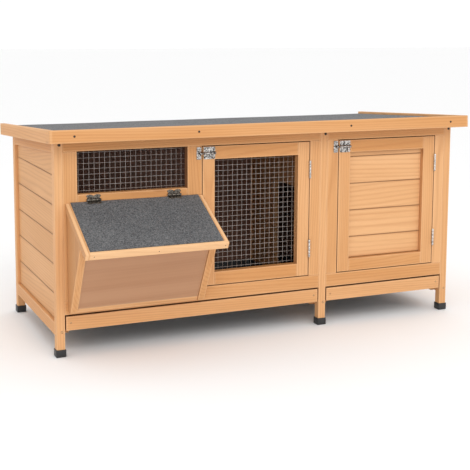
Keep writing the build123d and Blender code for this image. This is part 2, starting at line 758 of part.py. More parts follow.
def strap(x, clearance):
    """A strap that holds a bolt to its plate, bored along the bolt."""
    block(x, (bolt_y - strap_reach, FRONT), (bolt_z - strap_reach, bolt_z + strap_reach))
    with Locations(Plane(origin=((x[0] + x[1]) / 2, bolt_y, bolt_z), z_dir=(1, 0, 0))):
        Cylinder(BOLT_RADIUS + clearance, x[1] - x[0], mode=Mode.SUBTRACT)


def bolt_plate(opening):
    """The plate of a barrel bolt on the door's top left corner, with a strap at each end."""
    left = door_span(opening)[0] + BOLT_INSET
    right = left + BOLT_PLATE
    with BuildPart() as plate:
        block(
            (left, right),
            (FRONT - BOLT_PLATE_THICKNESS, FRONT),
            (bolt_z - BOLT_PLATE / 2, bolt_z + BOLT_PLATE / 2),
        )
        strap((left, left + BOLT_STRAP), BOLT_CLEARANCE)
        strap((right - BOLT_STRAP, right), BOLT_CLEARANCE)
    return plate


def bolt(opening):
    """The sliding bolt, drawn back, with its knob hanging between the straps."""
    tip = opening[0] + DOOR_GAP / 2
    knob = door_span(opening)[0] + BOLT_INSET + BOLT_PLATE - BOLT_STRAP - KNOB_RADIUS - BOLT_CLEARANCE
    with BuildPart() as rod:
        with Locations(Plane(origin=(tip, bolt_y, bolt_z), z_dir=(1, 0, 0))):
            Cylinder(BOLT_RADIUS, BOLT_LENGTH, align=(Align.CENTER, Align.CENTER, Align.MIN))
        with Locations((knob, bolt_y, bolt_z)):
            Cylinder(KNOB_RADIUS, KNOB_LENGTH, align=(Align.CENTER, Align.CENTER, Align.MAX))
    return rod


with BuildPart() as bolt_keepers:
    for opening in (MESH_OPENING, SOLID_OPENING):
        keeper_right = opening[0] - DOOR_GAP
        keeper_left = keeper_right - KEEPER_WIDTH
        block(
            (keeper_left, keeper_right),
            (FRONT - BOLT_PLATE_THICKNESS, FRONT),
            (bolt_z - BOLT_PLATE / 2, bolt_z + BOLT_PLATE / 2),
        )
        strap((keeper_right - BOLT_STRAP, keeper_right), KEEPER_CLEARANCE)
save(bolt_keepers, "bolt_keepers")

save(door_stiles(MESH_OPENING), "mesh_door_stiles")
save(door_rails(MESH_OPENING), "mesh_door_rails")
mesh_span = panel_span(MESH_OPENING)
mesh_door_mesh = wire_panel(
    (mesh_span[0] - MESH_LAP, mesh_span[1] + MESH_LAP),
    (panel_z[0] - MESH_LAP, panel_z[1] + MESH_LAP),
    FRONT_BACK,
    MESH_PITCH,
    MESH_PITCH,
    MESH_WIRE,
)
save(mesh_door_mesh, "mesh_door_mesh")
save(door_hinge_leaves((MESH_OPENING,), False), "mesh_door_hinge_leaves")
save(bolt_plate(MESH_OPENING), "mesh_door_bolt_plate")
save(bolt(MESH_OPENING), "mesh_door_bolt")

save(door_stiles(SOLID_OPENING), "solid_door_stiles")
save(door_rails(SOLID_OPENING), "solid_door_rails")
with BuildPart() as solid_door_boards:
    panel_front = FRONT + PANEL_RECESS
    upper = panel_z[1] - DOOR_TOP_BOARD
    edges = [panel_z[1], upper]
    while edges[-1] - BOARD_PITCH > panel_z[0] + BOARD:
        edges.append(edges[-1] - BOARD_PITCH)
    edges.append(panel_z[0])
    for high, low in zip(edges[:-1], edges[1:]):
        block(
            panel_span(SOLID_OPENING),
            (panel_front, FRONT_BACK),
            (low + BOARD_GAP / 2, high - BOARD_GAP / 2),
        )
    seams = [
        edge
        for edge in solid_door_boards.edges().filter_by(Axis.X)
        if abs(edge.center().Y - panel_front) < ON_FACE
    ]
    chamfer(seams, BOARD_BEVEL)
save(solid_door_boards, "solid_door_boards")
save(door_hinge_leaves((SOLID_OPENING,), False), "solid_door_hinge_leaves")
save(bolt_plate(SOLID_OPENING), "solid_door_bolt_plate")
save(bolt(SOLID_OPENING), "solid_door_bolt")

# ---- trays --------------------------------------------------------------------------------------------
tray_front_z = (TRAY_FRONT_LOW, TRAY_FRONT_LOW + TRAY_FRONT_HEIGHT)
pan_z = (PAN_LOW, PAN_LOW + PAN_HEIGHT)
pan_y = (FRONT + TRAY_FRONT_THICKNESS, BACK_FRONT - PAN_BACK_CLEARANCE)

for name, bay in (("left_tray", BAYS[0]), ("right_tray", BAYS[1])):
    front_x = (bay[0] + TRAY_FRONT_GAP, bay[1] - TRAY_FRONT_GAP)
    pan_x = (bay[0] + PAN_CLEARANCE, bay[1] - PAN_CLEARANCE)
    spots = [
        (front_x[0] + TRAY_SCREW_INSET, FRONT, TRAY_SCREW_HEIGHT),
        (front_x[1] - TRAY_SCREW_INSET, FRONT, TRAY_SCREW_HEIGHT),
    ]
    screw_length = TRAY_FRONT_THICKNESS + PAN_WALL
    with BuildPart() as tray_front:
        block(front_x, (FRONT, FRONT + TRAY_FRONT_THICKNESS), tray_front_z)
        drill(spots, screw_length)
    save(tray_front, f"{name}_front")

    with BuildPart() as pan:
        block(pan_x, pan_y, pan_z)
        block(
            (pan_x[0] + PAN_WALL, pan_x[1] - PAN_WALL),
            (pan_y[0] + PAN_WALL, pan_y[1] - PAN_WALL),
            (pan_z[0] + PAN_WALL, pan_z[1]),
            mode=Mode.SUBTRACT,
        )
        drill(spots, screw_length)
    save(pan, f"{name}_pan")
    save(screws(spots, screw_length), f"{name}_screws")
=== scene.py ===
from math import atan, cos, pi, radians, sin, tan

import bpy
import numpy as np
from mathutils import Matrix, Vector


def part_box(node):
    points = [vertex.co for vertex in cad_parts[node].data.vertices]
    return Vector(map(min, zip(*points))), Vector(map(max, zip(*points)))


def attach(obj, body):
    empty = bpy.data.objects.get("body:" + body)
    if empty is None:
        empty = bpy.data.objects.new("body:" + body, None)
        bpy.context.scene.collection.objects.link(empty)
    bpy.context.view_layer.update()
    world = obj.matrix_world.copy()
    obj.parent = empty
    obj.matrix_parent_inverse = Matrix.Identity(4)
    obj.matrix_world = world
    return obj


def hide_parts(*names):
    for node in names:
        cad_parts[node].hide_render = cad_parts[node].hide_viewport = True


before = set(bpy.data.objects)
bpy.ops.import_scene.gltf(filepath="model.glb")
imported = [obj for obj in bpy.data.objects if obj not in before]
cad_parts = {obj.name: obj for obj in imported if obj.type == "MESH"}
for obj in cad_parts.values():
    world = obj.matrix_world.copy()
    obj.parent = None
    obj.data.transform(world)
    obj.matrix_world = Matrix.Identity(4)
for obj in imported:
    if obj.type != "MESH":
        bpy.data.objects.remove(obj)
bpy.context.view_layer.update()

rng = np.random.default_rng(11)

# ---- studio ----
# The hutch stands on a pale floor in soft light from above and from the front left, seen from
# the front left at about chest height. The camera is placed from the front left post's corner.
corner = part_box("post_front_left")[0]
camera_offset = Vector((-0.5691, -2.2917, 0.7668))
camera_turn = 0.418          # radians to the right of +Y
camera_dip = 0.129           # radians below the horizon
camera_roll = 0.005
camera_data = bpy.data.cameras.new("camera")
camera_data.sensor_width = 36.0
camera_data.lens = 79.45
camera_data.shift_y = -0.1596
camera = bpy.data.objects.new("camera", camera_data)
forward = Vector((sin(camera_turn) * cos(camera_dip), cos(camera_turn) * cos(camera_dip), -sin(camera_dip)))
level = Vector((cos(camera_turn), -sin(camera_turn), 0))
upward = level.cross(forward)
camera_x = level * cos(camera_roll) + upward * sin(camera_roll)
camera_y = upward * cos(camera_roll) - level * sin(camera_roll)
camera_axes = Matrix((camera_x, camera_y, -forward)).transposed().to_4x4()
camera.matrix_world = Matrix.Translation(Vector((corner.x, corner.y, 0)) + camera_offset) @ camera_axes
bpy.context.scene.collection.objects.link(camera)
bpy.context.scene.camera = camera
bpy.context.scene.view_settings.view_transform = "Standard"

world = bpy.data.worlds.new("studio")
world.use_nodes = True
world.node_tree.nodes["Background"].inputs["Color"].default_value = (1.0, 1.0, 1.0, 1.0)
world.node_tree.nodes["Background"].inputs["Strength"].default_value = 1.04
bpy.context.scene.world = world


def softbox(name, place, target, size, power):
    """A square area light at a place, turned to face a target."""
    data = bpy.data.lights.new(name, "AREA")
    data.shape = "SQUARE"
    data.size = size
    data.energy = power
    light = bpy.data.objects.new(name, data)
    aim = (Vector(target) - Vector(place)).to_track_quat("-Z", "Y")
    light.matrix_world = Matrix.Translation(Vector(place)) @ aim.to_matrix().to_4x4()
    bpy.context.scene.collection.objects.link(light)


softbox("key_softbox", (-0.5, -3.2, 2.8), (0.1, 0.0, 0.25), 2.2, 45)


def build(name, points, faces, vectors=None, floats=None):
    """Makes a mesh object in the world frame from points, faces and named point attributes. Faces
    of four corners shade smoothly, and ends with more corners shade flat."""
    mesh = bpy.data.meshes.new(name)
    mesh.from_pydata(np.asarray(points, float).tolist(), [], faces)
    for label, values in (vectors or {}).items():
        layer = mesh.attributes.new(label, "FLOAT_VECTOR", "POINT")
        layer.data.foreach_set("vector", np.asarray(values, np.float32).ravel())
    for label, values in (floats or {}).items():
        layer = mesh.attributes.new(label, "FLOAT", "POINT")
        layer.data.foreach_set("value", np.asarray(values, np.float32).ravel())
    mesh.polygons.foreach_set("use_smooth", [len(face) == 4 for face in faces])
    mesh.update()
    piece = bpy.data.objects.new(name, mesh)
    bpy.context.scene.collection.objects.link(piece)
    return piece


def new_material(name):
    """A material with a Principled shader; gives the material, its tree and the shader."""
    material = bpy.data.materials.new(name)
    material.use_nodes = True
    return material, material.node_tree, material.node_tree.nodes["Principled BSDF"]


floor_reach = 30.0
floor_corners = [(-floor_reach, -floor_reach, 0), (floor_reach, -floor_reach, 0)]
floor_corners += [(floor_reach, floor_reach, 0), (-floor_reach, floor_reach, 0)]
floor = build("floor", floor_corners, [(0, 1, 2, 3)])
floor_paint, floor_tree, floor_shader = new_material("pale_floor")
floor_shader.inputs["Base Color"].default_value = (0.93, 0.93, 0.93, 1)
floor_shader.inputs["Roughness"].default_value = 0.8
floor.data.materials.append(floor_paint)

# ---- posts and the timber finish ----
# Six square posts of planed fir with a golden oil stain: growth rings about a pith outside each
# stick, fibres along it, and rubbed arrises. Their tops are cut to the roof's slope, and the deck
# is nailed down on them. Every stick of the hutch carries its own place in its own log.


def add_node(tree, kind, inputs=None, **settings):
    """Adds a shader node; inputs are values or sockets by name or index, settings its own options."""
    node = tree.nodes.new(kind)
    for key, value in settings.items():
        setattr(node, key, value)
    for key, value in (inputs or {}).items():
        if isinstance(value, bpy.types.NodeSocket):
            tree.links.new(value, node.inputs[key])
        else:
            node.inputs[key].default_value = value
    return node


def calc(tree, operation, *values):
    """One step of arithmetic on sockets or numbers; gives the result's socket."""
    return add_node(tree, "ShaderNodeMath", dict(enumerate(values)), operation=operation).outputs[0]


def limited(tree, value):
    """A socket's value held between 0 and 1."""
    return add_node(tree, "ShaderNodeClamp", {"Value": value}).outputs[0]


def blend_colour(tree, amount, first, second):
    """Mixes two colours by an amount; gives the result's socket."""
    return add_node(tree, "ShaderNodeMix", {0: amount, 6: first, 7: second}, data_type="RGBA").outputs[2]


def stretched(tree, position, factors):
    """A position times a factor along each axis."""
    return add_node(tree, "ShaderNodeVectorMath", {0: position, 1: factors}, operation="MULTIPLY").outputs[0]


def noise(tree, position, factors, detail):
    """Noise from 0 to 1 on a stretched position."""
    inputs = {"Vector": stretched(tree, position, factors), "Scale": 1.0, "Detail": detail}
    return add_node(tree, "ShaderNodeTexNoise", inputs).outputs["Fac"]


def object_place(tree):
    """The socket of a point's own place in its object."""
    return add_node(tree, "ShaderNodeTexCoord").outputs["Object"]


def feed(tree, shader, sockets, height, strength, depth):
    """Links sockets to a shader's inputs by name, and a bump of some strength and depth."""
    bump = add_node(tree, "ShaderNodeBump", {"Strength": strength, "Distance": depth, "Height": height})
    for label, socket in {**sockets, "Normal": bump.outputs["Normal"]}.items():
        tree.links.new(socket, shader.inputs[label])


def centred(tree, value, gain):
    """A 0 to 1 value moved to swing about zero, times a gain."""
    return calc(tree, "MULTIPLY", calc(tree, "SUBTRACT", value, 0.5), gain)


def node_group(name, inputs, outputs):
    """A shader node group with named sockets; gives the group, its inputs and its output node."""
    group = bpy.data.node_groups.new(name, "ShaderNodeTree")
    for label, kind, value in inputs:
        group.interface.new_socket(label, in_out="INPUT", socket_type=kind).default_value = value
    for label, kind in outputs:
        group.interface.new_socket(label, in_out="OUTPUT", socket_type=kind)
    return group, group.nodes.new("NodeGroupInput").outputs, group.nodes.new("NodeGroupOutput").inputs


COLOUR, FLOAT, VECTOR = "NodeSocketColor", "NodeSocketFloat", "NodeSocketVector"
figure, f_in, f_out = node_group(
    "timber_figure",
    [
        ("Log", VECTOR, (0, 0, 0)),
        ("Tone", FLOAT, 0.5),
        ("Wear", FLOAT, 0.0),
        ("Pale", COLOUR, (0.8, 0.5, 0.25, 1)),
        ("Gold", COLOUR, (0.7, 0.35, 0.12, 1)),
        ("Ring", COLOUR, (0.4, 0.18, 0.06, 1)),
        ("Ring Width", FLOAT, 0.008),
        ("Ring Strength", FLOAT, 0.5),
        ("Knots", FLOAT, 0.7),
    ],
    [("Color", COLOUR), ("Roughness", FLOAT), ("Height", FLOAT)],
)
drift = noise(figure, f_in["Log"], (1.6, 13.0, 13.0), 2.0)
cloud = noise(figure, f_in["Log"], (2.3, 16.0, 16.0), 1.0)
fibre = noise(figure, f_in["Log"], (14.0, 620.0, 620.0), 3.0)
streak = noise(figure, f_in["Log"], (3.0, 150.0, 150.0), 2.0)
across = stretched(figure, f_in["Log"], (0, 1, 1))
radius = add_node(figure, "ShaderNodeVectorMath", {0: across}, operation="LENGTH").outputs["Value"]
radius = calc(figure, "ADD", centred(figure, drift, 0.024), radius)
turns = calc(figure, "MULTIPLY", calc(figure, "DIVIDE", radius, f_in["Ring Width"]), 2 * pi)
ring = calc(figure, "POWER", calc(figure, "MULTIPLY_ADD", calc(figure, "SINE", turns), 0.5, 0.5), 2.4)
knot_place = stretched(figure, f_in["Log"], (4.2, 15.0, 15.0))
knot_cells = add_node(figure, "ShaderNodeTexVoronoi", {"Vector": knot_place, "Scale": 1.0})
knot_inputs = {"Value": knot_cells.outputs["Distance"], "From Min": 0.12, "From Max": 0.04}
knot_inputs["To Max"] = f_in["Knots"]
knot = add_node(figure, "ShaderNodeMapRange", knot_inputs, interpolation_type="SMOOTHSTEP").outputs[0]
tone = limited(figure, calc(figure, "ADD", centred(figure, cloud, 1.1), f_in["Tone"]))
dark = calc(figure, "MULTIPLY", ring, f_in["Ring Strength"])
dark = calc(figure, "ADD", centred(figure, fibre, 0.32), dark)
dark = calc(figure, "ADD", centred(figure, streak, 0.50), dark)
dark = limited(figure, calc(figure, "MAXIMUM", dark, knot))
stained = blend_colour(figure, dark, blend_colour(figure, tone, f_in["Pale"], f_in["Gold"]), f_in["Ring"])
worn = limited(figure, calc(figure, "MULTIPLY", f_in["Wear"], 0.22))
rubbed = blend_colour(figure, worn, stained, (0.90, 0.60, 0.34, 1))
# Values below zero darken the wood: a little for stain pooled in end grain, and more for painted shade in the
# board joints, on inside faces and on the hidden sides of joined sticks. The deepest painted shade turns a
# duller, greyer brown.
pooled = limited(figure, calc(figure, "MULTIPLY", f_in["Wear"], -0.9))
deep = limited(figure, calc(figure, "MULTIPLY_ADD", f_in["Wear"], -2.0, -1.0))
stain_colour = blend_colour(figure, deep, (0.17, 0.058, 0.016, 1), (0.17, 0.085, 0.068, 1))
soaked = blend_colour(figure, pooled, rubbed, stain_colour)
figure.links.new(soaked, f_out["Color"])
figure.links.new(calc(figure, "MULTIPLY_ADD", dark, -0.12, 0.60), f_out["Roughness"])
relief = calc(figure, "MULTIPLY_ADD", ring, 0.6, calc(figure, "MULTIPLY", fibre, 0.5))
figure.links.new(relief, f_out["Height"])


def timber_finish(name, pale, gold, ring_colour, ring_width, ring_strength, knots=0.7):
    """A timber material: the figure group with a finish's own colours and ring spacing."""
    material, tree, shader = new_material(name)
    settings = {"Pale": (*pale, 1), "Gold": (*gold, 1), "Ring": (*ring_colour, 1)}
    settings |= {"Ring Width": ring_width, "Ring Strength": ring_strength, "Knots": knots}
    for label, kind in (("Log", "Vector"), ("Tone", "Fac"), ("Wear", "Fac")):
        source = add_node(tree, "ShaderNodeAttribute", attribute_name=label.lower())
        settings[label] = source.outputs[kind]
    grain = add_node(tree, "ShaderNodeGroup", settings, node_tree=figure).outputs
    sockets = {"Base Color": grain["Color"], "Roughness": grain["Roughness"]}
    feed(tree, shader, sockets, grain["Height"], 0.25, 0.0006)
    shader.inputs["Specular IOR Level"].default_value = 0.35
    return material


golden_fir = timber_finish(
    "golden_fir", (0.74, 0.405, 0.185), (0.61, 0.285, 0.098), (0.41, 0.155, 0.042), 0.0056, 0.26
)
EASE = 0.0010                # radius of an eased arris
RUB = 0.0030                 # how far from an arris the rubbed colour reaches
ARC = np.linspace(0, 1, 5)   # steps round an eased corner


def eased_outline(corners, ease):
    """Seven points at each corner of an anticlockwise polygon: one on the flat before it, five on
    a quadratic arc whose middle control point is the corner, and one on the flat after it. Also
    gives each point's wear, 1 on the arc and 0 on the flat."""
    corners = np.asarray(corners, float)
    back = np.roll(corners, 1, axis=0) - corners
    ahead = np.roll(corners, -1, axis=0) - corners
    back_length = np.linalg.norm(back, axis=1, keepdims=True)
    ahead_length = np.linalg.norm(ahead, axis=1, keepdims=True)
    back, ahead = back / back_length, ahead / ahead_length
    ease = np.broadcast_to(np.asarray(ease, float).reshape(-1, 1), (len(corners), 1))
    before = corners + back * np.minimum(ease + RUB, back_length * 0.45)
    after = corners + ahead * np.minimum(ease + RUB, ahead_length * 0.45)
    first, last = (corners + back * ease)[:, None], (corners + ahead * ease)[:, None]
    t = ARC[None, :, None]
    arc = (1 - t) ** 2 * first + 2 * t * (1 - t) * corners[:, None] + t**2 * last
    points = np.concatenate([before[:, None], arc, after[:, None]], axis=1).reshape(-1, 2)
    wear = np.tile(np.concatenate([[0.0], np.ones(len(ARC)), [0.0]]), len(corners))
    return points, wear


def ring_faces(rings, count, offset=0):
    """Quads between rings of points that follow one another, and a face over the first and last."""
    step, around = np.meshgrid(np.arange(rings - 1), np.arange(count), indexing="ij")
    after = (around + 1) % count
    base, above = step * count + offset, (step + 1) * count + offset
    quads = np.stack([base + around, base + after, above + after, above + around], axis=-1)
    ends = [np.arange(count)[::-1] + offset, np.arange(count) + (rings - 1) * count + offset]
    return quads.reshape(-1, 4).tolist() + [end.tolist() for end in ends]


def carried(outline, along, span, ease):
    """A closed outline in the two axes after `along`, carried along that axis between two values.
    Near each end it is drawn in along its own normals, by a quarter round of the ease."""
    tangent = np.roll(outline, -1, axis=0) - np.roll(outline, 1, axis=0)
    outward = np.stack([tangent[:, 1], -tangent[:, 0]], axis=1)
    outward /= np.linalg.norm(outward, axis=1, keepdims=True)
    reach = min(ease + RUB, (span[1] - span[0]) * 0.3)
    near = span[0] + np.array([0, 0.3 * ease, ease, reach])
    stations = np.concatenate([near, span[0] + span[1] - near[::-1]])
    drawn_in = ease * np.array([0.9, 0.3, 0, 0, 0, 0, 0.3, 0.9])
    points = np.zeros((len(stations), len(outline), 3))
    points[:, :, along] = stations[:, None]
    cross = outline[None] - outward[None] * drawn_in[:, None, None]
    points[:, :, (along + 1) % 3] = cross[:, :, 0]
    points[:, :, (along + 2) % 3] = cross[:, :, 1]
    return points.reshape(-1, 3), ring_faces(len(stations), len(outline))


BLEACHED = (2.2,) * 7
# painted shade in the board joints, darkest in the groove
JOINT = (0, -0.15, -0.5, -0.6, -0.5, -0.15, 0)
# painted shade over the boards' inner faces, inside the hutch
SOAKED = (-1.0,) * 7
END_GRAIN = -0.3


def plank(corners, along, span, grain=None, tone=0.5, ease=EASE, place=None, wears=None, sides=0.0):
    """A stick of timber: an eased polygon carried along an axis. Gives its mesh arrays, and each
    point's place in the log: along the grain, and across it from a pith that leans a little. Its
    worn value is above 0 where stain is rubbed off, and below 0 where stain pools at the end grain
    and where shade is painted on; one list gives the value for the points of each corner, and one
    value gives painted shade to everything behind the front face."""
    outline, outline_wear = eased_outline(corners, ease)
    points, faces = carried(outline, along, span, float(np.min(ease)))
    grain = along if grain is None else grain
    across_grain = [(grain + 1) % 3, (grain + 2) % 3]
    centre = (points.min(0) + points.max(0)) / 2
    angle = rng.uniform(0, 2 * pi)
    pith = rng.uniform(0.03, 0.075) * np.array([cos(angle), sin(angle)])
    run = (points[:, grain] - centre[grain])[:, None]
    lateral = points[:, across_grain] - centre[across_grain] - pith + rng.normal(0, 0.025, 2) * run
    log = np.concatenate([run + rng.uniform(0, 40), lateral], axis=1)
    shade = np.full(len(points), tone + rng.normal(0, 0.10))
    if wears is not None:
        outline_wear = np.array(wears, float).ravel()
    outline_wear = np.tile(outline_wear, 8)
    end_wear = np.repeat([END_GRAIN, 1.0, 1.0, 0, 0, 1.0, 1.0, END_GRAIN], len(outline))
    wear = np.where((outline_wear < 0) | (end_wear == 0), outline_wear, end_wear)
    # painted shade: every point behind the front face takes the given darkening value
    if sides:
        wear = np.where(points[:, 1] > points[:, 1].min() + 0.7 * EASE, sides, wear)
    if place is not None:
        points = place(points)
    return points, faces, log, shade, wear


def bar(low, high, along, **options):
    """A plank of plain rectangular section between two corners."""
    a, b = (along + 1) % 3, (along + 2) % 3
    corners = [(low[a], low[b]), (high[a], low[b]), (high[a], high[b]), (low[a], high[b])]
    return plank(corners, along, (low[along], high[along]), **options)


def joined(parts):
    """Puts mesh parts, each a pair of points and faces, into one: points in a row, faces shifted."""
    offsets = np.cumsum([0] + [len(part[0]) for part in parts[:-1]])
    shifted = ((int(shift), face) for part, shift in zip(parts, offsets) for face in part[1])
    faces = [[index + shift for index in face] for shift, face in shifted]
    return np.concatenate([part[0] for part in parts]), faces


def fitted(piece, body, nodes, material, slot):
    """Gives a piece its finish and body, and puts it in place of its CAD nodes. The slot is not used."""
    piece.data.materials.append(material)
    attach(piece, body)
    if nodes:
        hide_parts(*nodes)
    return piece


def assembled(name, parts, *where):
    """Joins mesh parts into one piece and fits it: its body, CAD nodes and finish. The slot it is given is
    not used.
    """
    return fitted(build(name, *joined(parts)), *where)


def timber(name, planks, body, nodes, material=golden_fir, slot="pine"):
    """Joins planks into one piece on a body, in place of its CAD nodes."""
    points, faces = joined(planks)
    log, shade, wear = (np.concatenate([stick[index] for stick in planks]) for index in (2, 3, 4))
    piece = build(name, points, faces, {"log": log}, {"tone": shade, "wear": wear})
    return fitted(piece, body, nodes, material, slot)


def tilted(origin, first, second):
    """A move from a tilted frame to the world: x stays, and y and z are the origin's plus one
    distance along the first direction and one along the second."""
    def place(points):
        cross = points[..., 1:2] * np.array(first) + points[..., 2:3] * np.array(second)
        return np.concatenate([points[..., :1], cross + np.array(origin)], axis=-1)
    return place


def fir(node, planks, body="carcass", material=golden_fir, slot="pine"):
    """A piece of fir in place of the one CAD node that it is named after."""
    return timber("fir_" + node, planks, body, [node], material, slot)


post_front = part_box("post_front_left")
post_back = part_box("post_back_left")
roof_fall = (post_front[1].z - post_back[1].z) / (post_back[0].y - post_front[0].y)


def under_deck(y):
    """Height of the roof deck's underside at a place y: a straight fall from the front posts."""
    return post_front[1].z - roof_fall * (y - post_front[0].y)


def cut_to_roof(points, near=0.03):
    """Brings the top of a piece down to the deck: the last 30 mm are sheared with the roof."""
    top = points[:, 2].max()
    share = np.clip((points[:, 2] - (top - near)) / near, 0, 1)
    points[:, 2] += share * (under_deck(points[:, 1]) - top)
    return points


for row in ("front", "back"):
    for side in ("left", "middle", "right"):
        low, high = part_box(f"post_{row}_{side}")
        fir(f"post_{row}_{side}", [bar(low, high, 2, tone=0.2, place=cut_to_roof)])

# ---- foot caps ----
# Moulded black plastic cups pushed on to the posts. They stand slightly proud of the wood, with
# a rounded rim and rounded corners.
black_plastic, plastic_tree, plastic_shader = new_material("black_plastic")
plastic_place = object_place(plastic_tree)
plastic_grain = noise(plastic_tree, plastic_place, (900, 900, 900), 2.0)
scuffs = noise(plastic_tree, plastic_place, (60, 60, 60), 4.0)
plastic_sockets = {
    "Base Color": blend_colour(plastic_tree, scuffs, (0.010, 0.010, 0.011, 1), (0.030, 0.030, 0.031, 1)),
    "Roughness": calc(plastic_tree, "MULTIPLY_ADD", scuffs, 0.25, 0.33),
}
feed(plastic_tree, plastic_shader, plastic_sockets, plastic_grain, 0.2, 0.0002)


def lofted(centre, along, stations, half_a, half_b, corner_radius, count=48):
    """Rings round an axis, one at each station: a circle whose four quarters are moved apart to
    the half sizes, so equal half sizes and radius give a round section. Stations rise along the
    axis on an outer surface, and come back down it inside a cup."""
    stations, half_a, half_b, corner_radius = np.broadcast_arrays(stations, half_a, half_b, corner_radius)
    angle = (np.arange(count) + 0.5) * 2 * pi / count
    c, s = np.cos(angle), np.sin(angle)
    points = np.zeros((len(stations), count, 3))
    points[:, :, along] = stations[:, None]
    for step, middle, half, turn in ((1, centre[0], half_a, c), (2, centre[1], half_b, s)):
        moved_apart = np.outer(half - corner_radius, np.sign(turn))
        points[:, :, (along + step) % 3] = middle + moved_apart + np.outer(corner_radius, turn)
    return points.reshape(-1, 3), ring_faces(len(stations), count)


CAP_HALF = 0.01205
CAP_HOLE = 0.01005
cap_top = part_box("foot_caps")[1].z
cap_heights = np.array([0, 0.0004, 0.0016, *(cap_top - np.array([0.0008, 0.0002, 0, 0, 0.004]))])
cap_halves = CAP_HALF - np.array([0.0022, 0.0006, 0, 0, 0.0003, 0.0008])
cap_halves = np.concatenate([cap_halves, [CAP_HOLE, CAP_HOLE]])
caps = []
for side in ("left", "middle", "right"):
    for low, high in (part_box(f"post_front_{side}"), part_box(f"post_back_{side}")):
        middle = ((low.x + high.x) / 2, (low.y + high.y) / 2)
        caps.append(lofted(middle, 2, cap_heights, cap_halves, cap_halves, 0.0018))
assembled("moulded_foot_caps", caps, "carcass", ["foot_caps"], black_plastic, "black_plastic")

# ---- front frame ----
# Rails between the posts above and below, stiles beside the doors and the window, and a rail
# under the window that carries the hopper's lid. All are 20 mm fir, glued and nailed flush.
left_post, middle_post, right_post = (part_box(f"post_front_{side}") for side in ("left", "middle", "right"))
bays = [(left_post[1].x, middle_post[0].x), (middle_post[1].x, right_post[0].x)]
front_face, frame_back = post_front[0].y, post_front[1].y
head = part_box("front_top_rails")[0].z
rail_low, rail_high = (point.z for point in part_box("front_bottom_rails"))

HIDDEN = -0.75               # painted shade, darkening the sides of joined sticks behind their front faces
rail_kinds = {
    "top": (head, post_front[1].z, {"tone": 0.75, "place": cut_to_roof}),
    "bottom": (rail_low, rail_high, {"tone": 0.7}),
}
for name, (low, high, options) in rail_kinds.items():
    rails = [
        bar((left, front_face, low), (right, frame_back, high), 0, sides=HIDDEN, **options)
        for left, right in bays
    ]
    timber(f"fir_{name}_rails", rails, "carcass", [f"front_{name}_rails"])
fir("window_rail", [bar(*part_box("window_rail"), 0, tone=0.8)])
for node, shade in (("stile_left_end", 0.4), ("stile_centre", 0.95), ("stile_right_end", 0.2)):
    fir(node, [bar(*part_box(node), 2, tone=shade, sides=HIDDEN)])
beside_low, beside_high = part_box("stiles_beside_middle_post")
beside = [
    bar(beside_low, (middle_post[0].x, beside_high.y, beside_high.z), 2, tone=0.3, sides=HIDDEN),
    bar((middle_post[1].x, beside_low.y, beside_low.z), beside_high, 2, tone=0.35, sides=HIDDEN),
]
fir("stiles_beside_middle_post", beside)

# ---- welded mesh and hay grille ----
# Half-inch welded mesh, dipped in zinc after welding: upright wires behind, level wires in front,
# each pair fused where they cross. The grille behind the hopper is the same in heavier wire.
zinc_skin, z_in, z_out = node_group(
    "zinc_skin",
    [
        ("Position", VECTOR, (0, 0, 0)),
        ("Bright", COLOUR, (0.8, 0.8, 0.8, 1)),
        ("Dull", COLOUR, (0.4, 0.4, 0.4, 1)),
    ],
    [("Color", COLOUR), ("Roughness", FLOAT), ("Height", FLOAT)],
)
spangle = add_node(zinc_skin, "ShaderNodeTexVoronoi", {"Vector": z_in["Position"], "Scale": 420.0})
spangle_tone = add_node(zinc_skin, "ShaderNodeSeparateColor", {0: spangle.outputs["Color"]}).outputs[0]
stain = noise(zinc_skin, z_in["Position"], (70, 70, 70), 4.0)
dulling = calc(zinc_skin, "MULTIPLY_ADD", stain, 0.8, -0.6)
dulling = limited(zinc_skin, calc(zinc_skin, "MULTIPLY_ADD", spangle_tone, 1.2, dulling))
zinc_skin.links.new(blend_colour(zinc_skin, dulling, z_in["Bright"], z_in["Dull"]), z_out["Color"])
zinc_skin.links.new(calc(zinc_skin, "MULTIPLY_ADD", dulling, 0.3, 0.26), z_out["Roughness"])
zinc_skin.links.new(stain, z_out["Height"])


def plated(name, bright, dull, metallic):
    """A plated or lacquered steel finish: the zinc skin group with its own two tones."""
    material, tree, shader = new_material(name)
    settings = {"Position": object_place(tree), "Bright": (*bright, 1), "Dull": (*dull, 1)}
    skin = add_node(tree, "ShaderNodeGroup", settings, node_tree=zinc_skin).outputs
    sockets = {"Base Color": skin["Color"], "Roughness": skin["Roughness"]}
    feed(tree, shader, sockets, skin["Height"], 0.2, 0.0003)
    shader.inputs["Metallic"].default_value = metallic
    return material


wire_zinc = plated("galvanised_wire", (0.66, 0.60, 0.56), (0.48, 0.43, 0.40), 0.35)
MESH_PITCH = 0.0127
MESH_RADIUS = 0.00031
GRILLE_PITCH = 0.030


def wires(starts, ends, wire_radius, side, front, segments=6, count=8, sway=0.00006):
    """Round wires: at each of several steps from start to end, a ring of points at the wire's
    radius, side cos a + front sin a, and between the ends a small random sway to the side."""
    t = np.linspace(0, 1, segments + 1)
    bend = rng.normal(0, sway, (len(starts), segments + 1)) * np.sin(pi * t)
    path = starts[:, None] + (ends - starts)[:, None] * t[None, :, None] + bend[:, :, None] * side
    angle = np.linspace(0, 2 * pi, count, endpoint=False)[:, None]
    ring = wire_radius * (side * np.cos(angle) + front * np.sin(angle))
    points = path[:, :, None] + ring[None, None]
    faces = [
        face
        for index in range(len(starts))
        for face in ring_faces(segments + 1, count, index * (segments + 1) * count)
    ]
    return points.reshape(-1, 3), faces


